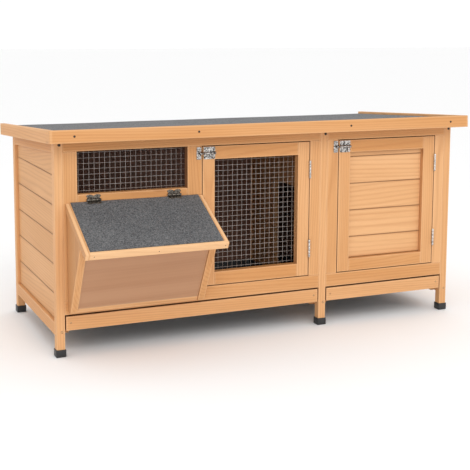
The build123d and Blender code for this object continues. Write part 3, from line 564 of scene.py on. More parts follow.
def welded_panel(name, node, body, pitch_x, pitch_z, wire_radius):
    """A welded panel over a CAD panel's box: upright wires, and level wires in front of them."""
    low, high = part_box(node)
    x_axis, y_axis, z_axis = np.eye(3)
    upright_x = np.arange(low.x + wire_radius, high.x, pitch_x)
    level_z = np.arange(low.z + wire_radius, high.z, pitch_z)
    foot = np.outer(upright_x, x_axis) + (0, low.y + 2.9 * wire_radius, low.z)
    end = np.outer(level_z, z_axis) + (low.x, low.y + wire_radius, 0)
    uprights = wires(foot, foot + z_axis * (high.z - low.z), wire_radius, x_axis, y_axis)
    levels = wires(end, end + x_axis * (high.x - low.x), wire_radius, z_axis, -y_axis)
    return assembled(name, [uprights, levels], body, [node], wire_zinc, "galvanised_mesh")


welded_panel("window_mesh_wires", "window_mesh", "carcass", MESH_PITCH, MESH_PITCH, MESH_RADIUS)
grille_low, grille_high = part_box("hay_grille")
grille_radius = (grille_high.y - grille_low.y) / 4
grille_rise = (grille_high.z - grille_low.z - 2 * grille_radius) / 2 - 0.0001
welded_panel("hay_grille_wires", "hay_grille", "carcass", GRILLE_PITCH, grille_rise, grille_radius)

# ---- side and back walls ----
# Each wall is a bottom rail and a top rail between the posts, with boards set back between them.
# The boards' outer arrises are rounded over, which makes the dark joints; shade is also painted into
# the joints and over the boards' inner faces.
board_fir = timber_finish(
    "board_fir", (0.74, 0.415, 0.195), (0.62, 0.315, 0.125), (0.42, 0.17, 0.055), 0.0070, 0.26
)
ROUND_OVER = 0.0019
BOARD_GAP = 0.0004
SIDE_RAIL_TOP = 0.080
FIRST_BOARD = 0.0615         # the bottom board is ripped narrower
BOARD_PITCH = 0.070
TOP_RAIL_DEPTH = 0.036
wall_front, wall_back = frame_back, post_back[0].y
rail_drop = TOP_RAIL_DEPTH * (1 + roof_fall**2) ** 0.5


def board_spans(low, high):
    """Heights between the joints of a wall: a ripped board, full ones, and what is left."""
    joints = np.arange(low + FIRST_BOARD, high - 0.01, BOARD_PITCH)
    edges = np.concatenate([[low], joints, [high]])
    return list(zip(edges[:-1] + BOARD_GAP / 2, edges[1:] - BOARD_GAP / 2))


def sheared_from(base, height=0.02):
    """A move that lets a stick follow the roof from the front: none at its base, all above it."""
    def place(points):
        share = np.clip((points[:, 2] - base) / height, 0, 1)
        points[:, 2] -= roof_fall * (points[:, 1] - wall_front) * share
        return points
    return place


def wall_rails(near, far, along, foot, top, follow):
    """The bottom and the top rail of a wall, between two corners in plan: one from its foot up,
    and one between two heights, moved to follow the roof."""
    spans = ((foot, SIDE_RAIL_TOP, 0.55, None), (*top, 0.6, follow))
    return [
        bar((*near, low), (*far, high), along, tone=shade, place=place)
        for low, high, shade, place in spans
    ]


side_top = under_deck(wall_front)
for side in ("left", "right"):
    rails_low, rails_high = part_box(f"{side}_side_rails")
    plan, top = ((rails_low.x, wall_front), (rails_high.x, wall_back)), (side_top - rail_drop, side_top)
    fir(f"{side}_side_rails", wall_rails(*plan, 1, rails_low.z, top, sheared_from(0.0)))

    boards_low, boards_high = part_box(f"{side}_side_boards")
    turn_round = {"left": 1, "right": -1}[side]
    edges = [ROUND_OVER, ROUND_OVER, EASE, EASE][::turn_round]
    stains = [JOINT, JOINT, SOAKED, SOAKED][::turn_round]
    side_boards = []
    for low, high in board_spans(SIDE_RAIL_TOP, side_top - rail_drop):
        follows_roof = sheared_from(low) if high > side_top - rail_drop - BOARD_GAP else None
        ends = (boards_low.x, wall_front, low), (boards_high.x, wall_back, high)
        side_boards.append(bar(*ends, 1, ease=edges, wears=stains, place=follows_roof))
    fir(f"{side}_side_boards", side_boards, material=board_fir, slot="pine_boards")

back_low, back_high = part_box("back_rails")
back_board_low, back_board_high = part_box("back_boards")
back_top = under_deck(back_high.y) - rail_drop
back_rails, back_boards = [], []
for left, right in bays:
    plan, top = ((left, back_low.y), (right, back_high.y)), (back_top, under_deck(back_low.y))
    back_rails += wall_rails(*plan, 0, back_low.z, top, cut_to_roof)
    edges, stains = [EASE, ROUND_OVER, ROUND_OVER, EASE], [SOAKED, JOINT, JOINT, SOAKED]
    for low, high in board_spans(SIDE_RAIL_TOP, back_top):
        ends = (left, back_board_low.y, low), (right, back_board_high.y, high)
        back_boards.append(bar(*ends, 0, ease=edges, wears=stains))
fir("back_rails", back_rails)
fir("back_boards", back_boards, material=board_fir, slot="pine_boards")

# ---- partition, bearer and tray runners ----
# A 12 mm partition of upright boards divides the cabin from the nest, with a doorway in it. It
# stands on a bearer between the middle posts. Below, four runners carry the trays.
DOORWAY_FRONT = 0.073        # from the front frame's back to the doorway
DOORWAY_WIDTH = 0.174
DOORWAY_SILL = 0.110
DOORWAY_TOP = 0.341
wall_low, wall_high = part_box("partition")
door_front = wall_front + DOORWAY_FRONT
door_back = door_front + DOORWAY_WIDTH
mid_back = (door_back + wall_back) / 2
partition_boards = []
for front, back, low, high, shade in (
    (wall_front, door_front, wall_low.z, wall_high.z, 0.35),
    (door_front, door_back, wall_low.z, DOORWAY_SILL, 0.4),
    (door_front, door_back, DOORWAY_TOP, wall_high.z, 0.5),
    (door_back, mid_back, wall_low.z, wall_high.z, 0.4),
    (mid_back, wall_back, wall_low.z, wall_high.z, 0.6),
):
    place = cut_to_roof if high == wall_high.z else None
    ends = (wall_low.x, front, low), (wall_high.x, back, high)
    # painted shade over all the partition's faces, inside the hutch
    partition_boards.append(bar(*ends, 2, tone=shade, wears=[(-0.5,) * 7] * 4, place=place))
fir("partition", partition_boards, material=board_fir, slot="plywood")
fir("middle_bearer", [bar(*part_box("middle_bearer"), 1)])
RUNNER_WIDTH = 0.014
runner_low, runner_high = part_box("tray_runners")
runners = [
    bar((x, wall_front, runner_low.z), (x + RUNNER_WIDTH, wall_back, runner_high.z), 1)
    for left, right in bays
    for x in (left, right - RUNNER_WIDTH)
]
fir("tray_runners", runners)

# ---- roof deck, felt and fascias ----
# A board deck with grey mineral felt bedded on it and turned down over the back edge, nailed
# there. Fir fascias stand round the front and the sides, 6 mm higher than the felt.
roof_angle = atan(roof_fall)
FASCIA_DEPTH = 0.030
FASCIA_THICKNESS = 0.012
FASCIA_ROUND = 0.004
FASCIA_LIP = 0.006
FELT_THICKNESS = 0.0025      # with its bedding
FELT_SHEET = 0.0018
DECK_THICKNESS = 0.009
SETBACK = 0.001              # of the felt from the roof's end, of the deck, and of the felt's turn
FELT_STEPS = 60
fascia_low, fascia_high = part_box("fascia_front")
roof_edge = (fascia_low.y + FASCIA_DEPTH * sin(roof_angle), fascia_high.z)
roof_half = fascia_high.x
roof_length = (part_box("fascia_left")[1].y - roof_edge[0]) / cos(roof_angle)
# x, distance down the slope, and height above it
on_roof = tilted(roof_edge, (cos(roof_angle), -sin(roof_angle)), (sin(roof_angle), cos(roof_angle)))
deck_half = roof_half - FASCIA_THICKNESS
fascia_ease = [FASCIA_ROUND, FASCIA_ROUND, EASE, EASE]
fascia_ends = (-roof_half, 0, -FASCIA_DEPTH), (roof_half, FASCIA_THICKNESS, 0)
front_fascia = bar(*fascia_ends, 2, grain=0, tone=0.65, ease=fascia_ease, place=on_roof)
fir("fascia_front", [front_fascia])
for side, left, right in (("left", -roof_half, -deck_half), ("right", deck_half, roof_half)):
    low, high = (left, FASCIA_THICKNESS, -FASCIA_DEPTH), (right, roof_length, 0)
    fir(f"fascia_{side}", [bar(low, high, 1, tone=0.35, place=on_roof)])

deck_end = roof_length - FELT_THICKNESS - SETBACK
deck_top = -FASCIA_LIP - FELT_THICKNESS
veneer = timber_finish(
    "oiled_plywood", (0.52, 0.29, 0.165), (0.43, 0.22, 0.115), (0.34, 0.15, 0.07), 0.034, 0.20, 0.0
)
deck_low = (-deck_half, FASCIA_THICKNESS, deck_top - DECK_THICKNESS)
deck = bar(deck_low, (deck_half, deck_end, deck_top), 0, place=on_roof)
timber("plywood_roof_deck", [deck], "carcass", ["roof_deck"], veneer, "plywood")

granules, g_in, g_out = node_group(
    "mineral_granules",
    [
        ("Position", VECTOR, (0, 0, 0)),
        ("Light", COLOUR, (0.3, 0.3, 0.3, 1)),
        ("Dark", COLOUR, (0.05, 0.05, 0.05, 1)),
    ],
    [("Color", COLOUR), ("Height", FLOAT)],
)
grit = add_node(granules, "ShaderNodeTexVoronoi", {"Vector": g_in["Position"], "Scale": 620.0})
grit_tone = add_node(granules, "ShaderNodeSeparateColor", {0: grit.outputs["Color"]}).outputs[0]
clumps = noise(granules, g_in["Position"], (260, 260, 260), 3.0)
wash = noise(granules, g_in["Position"], (14, 14, 14), 3.0)
mixture = calc(granules, "MULTIPLY_ADD", grit_tone, 0.55, calc(granules, "MULTIPLY_ADD", clumps, 1.1, -0.5))
mixture = limited(granules, calc(granules, "ADD", centred(granules, wash, 0.35), mixture))
granules.links.new(blend_colour(granules, mixture, g_in["Dark"], g_in["Light"]), g_out["Color"])
granules.links.new(calc(granules, "SUBTRACT", 1.0, grit.outputs["Distance"]), g_out["Height"])
mineral_felt, felt_tree, felt_shader = new_material("mineral_felt")
felt_settings = {
    "Position": object_place(felt_tree),
    "Light": (0.235, 0.235, 0.235, 1),
    "Dark": (0.045, 0.047, 0.052, 1),
}
felt_surface = add_node(felt_tree, "ShaderNodeGroup", felt_settings, node_tree=granules).outputs
feed(felt_tree, felt_shader, {"Base Color": felt_surface["Color"]}, felt_surface["Height"], 0.6, 0.0007)
felt_shader.inputs["Roughness"].default_value = 0.92
felt_shader.inputs["Specular IOR Level"].default_value = 0.2
felt_shader.inputs["Sheen Weight"].default_value = 0.12
felt_shader.inputs["Sheen Roughness"].default_value = 0.5


def slab(top, under):
    """A closed sheet between two grids of points, the upper and the under surface, rows first:
    quads over both, and strips round the four edges. Rows and columns turn anticlockwise seen
    from above."""
    rows, columns = top.shape[:2]
    index = np.arange(rows * columns).reshape(rows, columns)
    quads = np.stack([index[:-1, :-1], index[1:, :-1], index[1:, 1:], index[:-1, 1:]], axis=-1).reshape(-1, 4)
    under_quads = (quads + rows * columns)[:, ::-1]
    rim = np.concatenate([index[0, :-1], index[:-1, -1], index[-1, :0:-1], index[:0:-1, 0]])
    low_rim = rim + rows * columns
    walls = np.stack([rim, np.roll(rim, -1), np.roll(low_rim, -1), low_rim], axis=-1)
    points = np.concatenate([top.reshape(-1, 3), under.reshape(-1, 3)])
    return points, np.concatenate([quads, under_quads, walls]).tolist()


def ripple(a, b, height):
    """Slow unevenness of laid felt: three crossed sine waves of different lengths."""
    waves = np.sin(23 * a + 11 * b) + np.sin(41 * b - 17 * a + 1.3) + np.sin(9 * a - 29 * b + 4.1)
    return height * (waves / 6 - 0.5)


flat_run = np.linspace(FASCIA_THICKNESS, deck_end - SETBACK, FELT_STEPS)
turn = np.linspace(0, pi / 2, 6)[1:]
turn_radius = roof_length - SETBACK - flat_run[-1]
turned_run = flat_run[-1] + turn_radius * np.sin(turn)
turned_above = -FASCIA_LIP - turn_radius * (1 - np.cos(turn))
hang = np.linspace(turned_above[-1], deck_top - DECK_THICKNESS, 5)[1:]
felt_run = np.concatenate([flat_run, turned_run, np.full(4, turned_run[-1])])
felt_above = np.concatenate([np.full(FELT_STEPS, -FASCIA_LIP), turned_above, hang])
felt_normal = np.gradient(np.stack([felt_run, felt_above], axis=1), axis=0)
felt_normal = np.stack([-felt_normal[:, 1], felt_normal[:, 0]], axis=1)
felt_normal /= np.linalg.norm(felt_normal, axis=1, keepdims=True)
felt_across = np.linspace(-deck_half, deck_half, 120)
felt_x, felt_index = np.meshgrid(felt_across, np.arange(len(felt_run)), indexing="ij")
unevenness = ripple(felt_x, felt_run[felt_index], 0.0008)
felt_top = np.stack([felt_x, felt_run[felt_index], felt_above[felt_index]], axis=-1)
felt_top[..., 1:] += felt_normal[felt_index] * unevenness[..., None]
felt_under = felt_top.copy()
felt_under[..., 1:] -= felt_normal[felt_index] * FELT_SHEET
roof_felt = slab(on_roof(felt_top), on_roof(felt_under))
assembled("felt_on_roof", [roof_felt], "carcass", ["roof_felt"], mineral_felt, "mineral_felt")

# ---- screws and nails ----
# Cross-recess screws with low domed heads hold the fascia and the posts, blackened above and
# yellow below. The felt's turned edge is held by round clout nails.
blackened = plated("blackened_steel", (0.075, 0.048, 0.030), (0.030, 0.020, 0.014), 0.3)
# radius, height and depth of the recess of each kind of head
POST_SCREW = (0.0035, 0.0012, 0.75)
LOW_SCREW = (0.0035, 0.0007, 0.5)
FASCIA_SCREW = (0.002625, 0.0008, 0.7)
TRAY_SCREW = (0.002625, 0.0009, 0.75)
HINGE_SCREW = (0.0022, 0.0009, 0.7)
PLATE_SCREW = (0.0021, 0.0006, 0.8)
CLOUT_NAIL = (0.0038, 0.0010, 0.0)
BATTEN_PIN = (0.0011, 0.0003, 0.0)


def domed_head(centre, out, across, head_radius, height, recess):
    """A screw or nail head: height times the root of 1 - (r / R)^2 over a disc, less a cross that
    is a fifth of the head wide and narrows inwards, and a rim that goes on into the wood."""
    rings, count = np.concatenate([np.linspace(0.02, 0.94, 11), [1.0]]), 48
    angle = (np.arange(count) + 0.5) * 2 * pi / count
    r, a = np.meshgrid(rings, angle, indexing="ij")
    u, v = r * np.cos(a), r * np.sin(a)
    arm = np.clip((0.15 - np.minimum(np.abs(u), np.abs(v))) / 0.08, 0, 1) * np.clip((0.62 - r) / 0.12, 0, 1)
    rise = height * (np.sqrt(1 - (0.92 * r) ** 2) - recess * arm)
    rise = np.concatenate([np.full((1, count), -height), rise[::-1]])
    u, v = np.concatenate([u[-1:], u[::-1]]), np.concatenate([v[-1:], v[::-1]])
    out, across = np.asarray(out, float), np.asarray(across, float)
    other = np.cross(out, across)
    disc = u[..., None] * across + v[..., None] * other
    points = np.asarray(centre) + head_radius * disc + rise[..., None] * out
    return points.reshape(-1, 3), ring_faces(len(rings) + 1, count)


FORWARD, SIDEWAYS = np.array([0.0, -1.0, 0.0]), np.array([1.0, 0.0, 0.0])
POST_SCREW_INSET = 0.013     # from the post's left face
POST_SCREW_DROP = 0.0385     # below the top of the fascia
LOW_SCREW_HEIGHT = 0.060
FASCIA_SCREWS = (-0.504, -0.205, 0.205, 0.504)
NAIL_INSET = 0.0015          # from the roof's end
NAIL_DROP = 0.0125
twist = (cos(0.5), 0, sin(0.5))
post_screw_x = [post[0].x + POST_SCREW_INSET for post in (left_post, middle_post, right_post)]
high_row, low_row = (
    [domed_head((x, front_face, z), FORWARD, twist, *kind) for x in post_screw_x]
    for z, kind in ((fascia_high.z - POST_SCREW_DROP, POST_SCREW), (LOW_SCREW_HEIGHT, LOW_SCREW))
)
roof_forward = np.array([0, -cos(roof_angle), sin(roof_angle)])
fascia_places = on_roof(np.outer(FASCIA_SCREWS, SIDEWAYS) + (0, 0, -FASCIA_DEPTH / 2))
fascia_row = [domed_head(place, roof_forward, SIDEWAYS, *FASCIA_SCREW) for place in fascia_places]
assembled("frame_screw_heads", high_row + fascia_row, "carcass", ["frame_screws"], blackened, "dark_steel")
yellow_zinc = plated("yellow_zinc", (0.66, 0.40, 0.20), (0.40, 0.20, 0.09), 0.5)
assembled("low_frame_screw_heads", low_row, "carcass", [], yellow_zinc, "dark_steel")
bright_zinc = plated("bright_zinc", (0.74, 0.72, 0.70), (0.36, 0.35, 0.34), 0.9)
nail_x = np.linspace(-0.9, 0.9, 9) * deck_half
nail_row = np.outer(nail_x, SIDEWAYS) + (0, roof_length - NAIL_INSET, -NAIL_DROP)
nails = [domed_head(place, -roof_forward, SIDEWAYS, *CLOUT_NAIL) for place in on_roof(nail_row)]
assembled("felt_clout_nails", nails, "carcass", [], bright_zinc, "zinc")

# ---- hay hopper ----
# Two tapered fir cheeks, and let in between them a plywood front that stands on a fir batten. It
# is open to the grille behind, and the lid rests on the cheeks.
LID_SLOPE = radians(27.4)
LID_LENGTH = 0.187
LID_THICKNESS = 0.017
LID_OVERHANG = 0.0495
LID_REST_GAP = 0.0003
HOPPER_FOOT = 0.0195
HOPPER_INSET = 0.003
HOPPER_PANEL = 0.009
lid_low, lid_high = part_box("lid_board")
lid_wall = lid_high.y
lid_top = lid_high.z + (front_face - lid_wall) * tan(LID_SLOPE)
cheek_low, cheek_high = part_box("hopper_side_left")
hopper_low = cheek_low.z

# x, distance up the slope from the wall, and height above it
on_lid = tilted((front_face, lid_top), (cos(LID_SLOPE), sin(LID_SLOPE)), (-sin(LID_SLOPE), cos(LID_SLOPE)))
rest = -LID_THICKNESS - LID_REST_GAP
foot = np.array([front_face - HOPPER_FOOT, hopper_low])
brow = on_lid(np.array([0, LID_OVERHANG - LID_LENGTH, rest]))[1:]
cheek = [foot, (front_face, hopper_low), (front_face, cheek_high.z), brow]
for side in ("left", "right"):
    low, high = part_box(f"hopper_side_{side}")
    board = plank(cheek, 0, (low.x, high.x), grain=2, tone=0.45)
    timber(f"fir_hopper_cheek_{side}", [board], "carcass", [f"hopper_side_{side}"])

rise_way = (brow - foot) / np.linalg.norm(brow - foot)
inward = np.array([rise_way[1], -rise_way[0]])

# x, depth behind the cheeks' edge, and height up it
on_hopper_front = tilted(foot, inward, rise_way)


def lid_meets(depth):
    """How far up the hopper's front a line at some depth behind it meets the lid's underside."""
    start = foot + depth * inward
    lid_z = lid_top + (start[0] - front_face) * tan(LID_SLOPE) + rest / cos(LID_SLOPE)
    return (lid_z - start[1]) / (rise_way[1] - rise_way[0] * tan(LID_SLOPE))


panel_low, panel_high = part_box("hopper_front")
batten_low, batten_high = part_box("hopper_batten")
outer, inner = HOPPER_INSET, HOPPER_INSET + HOPPER_PANEL
foot_drop = -inward[1] / rise_way[1]
batten_rise = (batten_high.z - batten_low.z) / rise_way[1]
panel = [
    (outer, outer * foot_drop + batten_rise),
    (inner, inner * foot_drop + batten_rise),
    (inner, lid_meets(inner)),
    (outer, lid_meets(outer)),
]
panel_board = plank(panel, 0, (panel_low.x, panel_high.x), ease=0.0006, tone=0.45, place=on_hopper_front)
timber("plywood_hopper_front", [panel_board], "carcass", ["hopper_front"], veneer, "plywood")
batten_front = on_hopper_front(np.array([(0, outer, outer * foot_drop), (0, *panel[0])]))[:, 1:]
batten = [batten_front[0], (batten_high.y, batten_low.z), (batten_high.y, batten_high.z), batten_front[1]]
fir("hopper_batten", [plank(batten, 0, (batten_low.x, batten_high.x), tone=0.1)])

# ---- hopper lid ----
# A board in a frame of narrow battens, cut upright at the wall, with a piece of the roof's felt
# glued on it. The front batten butts on the left one and is pinned. It overhangs as a handle.
BATTEN = 0.0085
lid_left, lid_right = lid_low.x, lid_high.x
wall_gap = front_face - lid_wall
top_end = -wall_gap / cos(LID_SLOPE)
under_end = -(wall_gap + LID_THICKNESS * sin(LID_SLOPE)) / cos(LID_SLOPE)


def lid_outline(front):
    """Section of the lid from a place down the slope to the wall, where it is cut upright."""
    return [(front, -LID_THICKNESS), (under_end, -LID_THICKNESS), (top_end, 0), (front, 0)]


pale_edge = {"wears": [BLEACHED] * 4, "place": on_lid}
side_batten = {"grain": 1, **pale_edge}
panel_x = (lid_left + BATTEN, lid_right - BATTEN)
front_low = (panel_x[0], -LID_LENGTH, -LID_THICKNESS)
lid_sticks = [
    plank(lid_outline(-LID_LENGTH), 0, (lid_left, panel_x[0]), tone=0.1, **side_batten),
    plank(lid_outline(BATTEN - LID_LENGTH), 0, (panel_x[1], lid_right), tone=0.0, **side_batten),
    plank(lid_outline(BATTEN - LID_LENGTH), 0, panel_x, tone=0.5, place=on_lid),
    bar(front_low, (lid_right, BATTEN - LID_LENGTH, 0), 0, tone=0.0, **pale_edge),
]
timber("fir_lid", lid_sticks, "hopper_lid", ["lid_board"])
lid_forward = np.array([0, -cos(LID_SLOPE), -sin(LID_SLOPE)])
lid_pins = [
    domed_head(on_lid(np.array([x, -LID_LENGTH, -LID_THICKNESS / 2])), lid_forward, SIDEWAYS, *BATTEN_PIN)
    for x in (lid_left + 0.02, (lid_left + lid_right) / 2, lid_right - 0.008)
]
assembled("lid_batten_pins", lid_pins, "hopper_lid", [], blackened, "dark_steel")
lid_felt_low, lid_felt_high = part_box("lid_felt")
LID_FRONT_MARGIN = 0.0075
LID_FELT = 0.002
LID_FELT_GAP = 0.0004        # between the felt and the wall
LID_FELT_BED = 0.0002        # how far the felt is bedded into the board
wall_end = -(wall_gap + LID_FELT_GAP) / cos(LID_SLOPE)
lid_x, lid_rise = np.meshgrid(
    np.linspace(lid_felt_low.x, lid_felt_high.x, 60),
    np.linspace(LID_FRONT_MARGIN - LID_LENGTH, wall_end, 36),
    indexing="ij",
)
lid_felt_top = np.stack([lid_x, lid_rise, LID_FELT + ripple(lid_x * 2, lid_rise * 2, 0.0004)], axis=-1)
lid_felt_under = np.stack([lid_x, lid_rise, np.full_like(lid_x, -LID_FELT_BED)], axis=-1)
lid_felt = slab(on_lid(lid_felt_top), on_lid(lid_felt_under))
assembled("felt_on_lid", [lid_felt], "hopper_lid", ["lid_felt"], mineral_felt, "mineral_felt")

# ---- lid hinges ----
# Two pressed butterfly hinges in dark lacquer: scalloped leaves on the wall and on the felt, three
# knuckles on a pin, and round-headed screws.
lacquered = plated("dark_lacquer", (0.20, 0.175, 0.145), (0.050, 0.043, 0.038), 0.85)
LEAF = 0.0008
KNUCKLE = 0.00275
KNUCKLE_GAP = 0.0004
KNUCKLE_EASE = 0.0003
KNUCKLE_END = KNUCKLE - 0.0004
PIN = 0.00125
LID_HINGE_WIDTH = 0.035
leaves_low, leaves_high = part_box("lid_hinge_wall_leaves")
lid_axis = np.array([leaves_low.y + KNUCKLE, leaves_low.z + KNUCKLE])
hinge_lefts = (leaves_low.x, leaves_high.x - LID_HINGE_WIDTH)
axis_rise = ((lid_axis[0] - front_face) + (LID_FELT + KNUCKLE + 0.0003) * sin(LID_SLOPE)) / cos(LID_SLOPE)
LEAF_LENGTH = 0.013


def scalloped(across, root, reach):
    """Grid over one hinge leaf: across runs -1 to 1, and its length follows two round lobes, with
    a dip between them and curled-in tips outside."""
    lobes = 0.62 + 0.38 * np.sqrt(np.abs(np.sin(pi * across))) * (0.75 + 0.25 * np.abs(across))
    t = np.linspace(0, 1, 7)
    waist = 1 - 0.16 * np.sin(pi * t) ** 2
    half = LID_HINGE_WIDTH / 2
    x = np.outer(across, waist) * half
    length = root + np.outer(lobes, t) * (reach - root)
    return x, length


def turned(centre, along, stations, radii, count):
    """A round section about an axis: one radius at each station."""
    return lofted(centre, along, stations, radii, radii, radii, count)


def knuckle(axis_centre, along, low, high, inset=KNUCKLE_GAP / 2):
    """One rolled knuckle: a round section with softened ends, between two values on its axis."""
    stations = [low + inset, low + inset + KNUCKLE_EASE, high - inset - KNUCKLE_EASE, high - inset]
    radii = np.array([KNUCKLE_END, KNUCKLE, KNUCKLE, KNUCKLE_END])
    return turned(axis_centre, along, stations, radii, 24)


leaf_across, leaf_reach = scalloped(np.linspace(-1, 1, 41), KNUCKLE * 0.4, LEAF_LENGTH)
LID_SCREW_DROP = 0.0072      # from the hinge's axis to its screws
LID_SCREW_SPREAD = 0.009
lid_out = np.array([0, -sin(LID_SLOPE), cos(LID_SLOPE)])
wall_parts, lid_parts, pin_parts = [], [], []
for left in hinge_lefts:
    centre, third = left + LID_HINGE_WIDTH / 2, LID_HINGE_WIDTH / 3
    leaf_x = centre + leaf_across
    wall_top = np.stack([leaf_x, np.full_like(leaf_x, front_face - LEAF), lid_axis[1] + leaf_reach], axis=-1)
    wall_parts.append(slab(wall_top, wall_top + np.array([0, LEAF, 0])))
    wall_parts += [knuckle(lid_axis, 0, left + third * index, left + third * (index + 1)) for index in (0, 2)]
    leaf_top = np.stack([leaf_x, axis_rise - leaf_reach, np.full_like(leaf_x, LID_FELT + LEAF)], axis=-1)
    leaf_top = leaf_top[:, ::-1]
    lid_parts.append(slab(on_lid(leaf_top), on_lid(leaf_top - np.array([0, 0, LEAF]))))
    lid_parts.append(knuckle(lid_axis, 0, left + third, left + 2 * third))
    for x in (centre - LID_SCREW_SPREAD, centre + LID_SCREW_SPREAD):
        on_wall = (x, front_face - LEAF, lid_axis[1] + LID_SCREW_DROP)
        wall_parts.append(domed_head(on_wall, FORWARD, twist, *HINGE_SCREW))
        on_leaf = on_lid(np.array([x, axis_rise - LID_SCREW_DROP, LID_FELT + LEAF]))
        lid_parts.append(domed_head(on_leaf, lid_out, SIDEWAYS, *HINGE_SCREW))
    pin_parts.append(turned(lid_axis, 0, [left, left + LID_HINGE_WIDTH], PIN, 16))
for name, parts, body, node in (
    ("wall", wall_parts, "carcass", "lid_hinge_wall_leaves"),
    ("lid", lid_parts, "hopper_lid", "lid_hinge_leaves"),
):
    assembled(f"butterfly_hinge_{name}_leaves", parts, body, [node], lacquered, "dark_steel")

# ---- doors ----
# Each door is a frame of two stiles with rails between them, glued. The cabin's door has welded
# mesh stapled behind it, and the nest's has boards set 12 mm back in it.
DOOR_TOP_RAIL = 0.032
DOOR_BOTTOM_RAIL = 0.0325
REVEAL = -0.2                # painted shade on the sides that show inside a door's frame


def door_frame(name, shade):
    """The two stiles and two rails of one door, from its CAD pieces' boxes."""
    low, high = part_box(f"{name}_stiles")
    left, right = (point.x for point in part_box(f"{name}_rails"))
    bottom_rail, top_rail = low.z + DOOR_BOTTOM_RAIL, high.z - DOOR_TOP_RAIL
    stiles = [
        bar(low, (left, high.y, high.z), 2, tone=shade, sides=HIDDEN),
        bar((right, low.y, low.z), high, 2, tone=shade - 0.2, sides=REVEAL),
    ]
    rails = [
        bar((left, low.y, low.z), (right, high.y, bottom_rail), 0, tone=0.95, sides=REVEAL),
        bar((left, low.y, top_rail), (right, high.y, high.z), 0, tone=0.95, sides=HIDDEN),
    ]
    fir(f"{name}_stiles", stiles, name)
    fir(f"{name}_rails", rails, name)


door_frame("mesh_door", 0.45)
door_frame("solid_door", 0.4)
welded_panel("mesh_door_wires", "mesh_door_mesh", "mesh_door", MESH_PITCH, MESH_PITCH, MESH_RADIUS)
DOOR_TOP_BOARD = 0.0128      # a ripped strip at the top
nest_low, nest_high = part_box("solid_door_boards")
nest_joints = nest_high.z - DOOR_TOP_BOARD - np.arange(4) * BOARD_PITCH
nest_edges = np.concatenate([[nest_high.z], nest_joints, [nest_low.z]])
nest_boards = [
    bar(
        (nest_low.x, nest_low.y, low),
        (nest_high.x, nest_high.y, high),
        0,
        ease=[ROUND_OVER, EASE, EASE, ROUND_OVER],
        wears=[JOINT, SOAKED, SOAKED, JOINT],
        tone=0.3,
    )
    for high, low in zip(nest_edges[:-1] - BOARD_GAP / 2, nest_edges[1:] + BOARD_GAP / 2)
]
pale_board = timber_finish(
    "pale_board_fir", (0.78, 0.445, 0.215), (0.65, 0.325, 0.125), (0.44, 0.175, 0.052), 0.0105, 0.24
)
fir("solid_door_boards", nest_boards, "solid_door", pale_board, "pine_boards")

# ---- door hinges ----
# Zinc butt hinges let into the gap beside each door, so only the five knuckles of each barrel
# show. Three knuckles belong to the frame's leaf, and two to the door's.
HINGE_HEIGHT = 0.045
LEAF_DEPTH = 0.015
LEAF_RELIEF = 0.0005         # how much shorter than the barrel the leaf is at each end
LEAF_EASE = 0.0001
PIN_END = 0.0004
PIN_END_RADIUS = 0.0009
frame_hinges, pins = [], list(pin_parts)
pin_radii = np.array([PIN_END_RADIUS, PIN, PIN, PIN_END_RADIUS])
for name in ("mesh_door", "solid_door"):
    low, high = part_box(f"{name}_hinge_leaves")
    barrel = ((low.x + high.x) / 2, low.y + KNUCKLE)
    door_hinges = []
    for foot_z in (low.z, high.z - HINGE_HEIGHT):
        top_z, pitch = foot_z + HINGE_HEIGHT, HINGE_HEIGHT / 5
        for index in range(5):
            family = frame_hinges if index % 2 == 0 else door_hinges
            family.append(knuckle(barrel, 2, foot_z + index * pitch, foot_z + (index + 1) * pitch))
        for family, x in ((frame_hinges, barrel[0] + 0.0002), (door_hinges, barrel[0] - 0.0010)):
            front, back = barrel[1], front_face + LEAF_DEPTH
            corners = [(x, front), (x + LEAF, front), (x + LEAF, back), (x, back)]
            leaf, span = eased_outline(corners, LEAF_EASE)[0], (foot_z + LEAF_RELIEF, top_z - LEAF_RELIEF)
            family.append(carried(leaf, 2, span, LEAF_EASE))
        pins.append(turned(barrel, 2, [foot_z - PIN_END, foot_z, top_z, top_z + PIN_END], pin_radii, 16))
    assembled(f"{name}_butt_leaves", door_hinges, name, [f"{name}_hinge_leaves"], bright_zinc, "zinc")
assembled("frame_butt_leaves", frame_hinges, "carcass", ["door_hinge_frame_leaves"], bright_zinc, "zinc")
assembled("steel_hinge_pins", pins, "carcass", ["hinge_pins"], bright_zinc, "zinc")

# ---- barrel bolts ----
# A zinc barrel bolt at the top of each door: a plate with two pressed straps, the bolt with its
# hanging knob, and a keeper on the frame. The bolts are drawn back.
pressed_zinc = plated("pressed_zinc", (0.66, 0.63, 0.60), (0.045, 0.042, 0.040), 1.0)
BOLT_RADIUS = 0.0025
STRAP_RADIUS = 0.0037
STRAP_WIDTH = 0.005
PLATE_THICKNESS = 0.0012
STRAP_BORE_GAP = 0.00015
PLATE_SCREW_INSET = 0.004
PLATE_SCREW_RISE = 0.0085    # from the bolt's axis, above and below
KEEPER_SCREW_RISE = 0.0095
KEEPER_WIDTH = 0.012
KNOB_RADIUS = 0.0018
keepers_low, keepers_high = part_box("bolt_keepers")
bolt_axis = np.array([keepers_low.y + STRAP_RADIUS, (keepers_low.z + keepers_high.z) / 2])


def strap(left):
    """A pressed strap: a half round outside and inside, with straight legs down to the plate."""
    legs = front_face - PLATE_THICKNESS * 0.5
    angle = np.linspace(-pi / 2, pi / 2, 15)
    inside = BOLT_RADIUS + STRAP_BORE_GAP
    outline = []
    for strap_radius, turn in ((STRAP_RADIUS, angle), (inside, angle[::-1])):
        arc = bolt_axis - strap_radius * np.stack([np.cos(turn), np.sin(turn)], axis=1)
        outline += [(legs, arc[0, 1]), *arc, (legs, arc[-1, 1])]
    return carried(np.array(outline), 0, (left, left + STRAP_WIDTH), 0.0003)


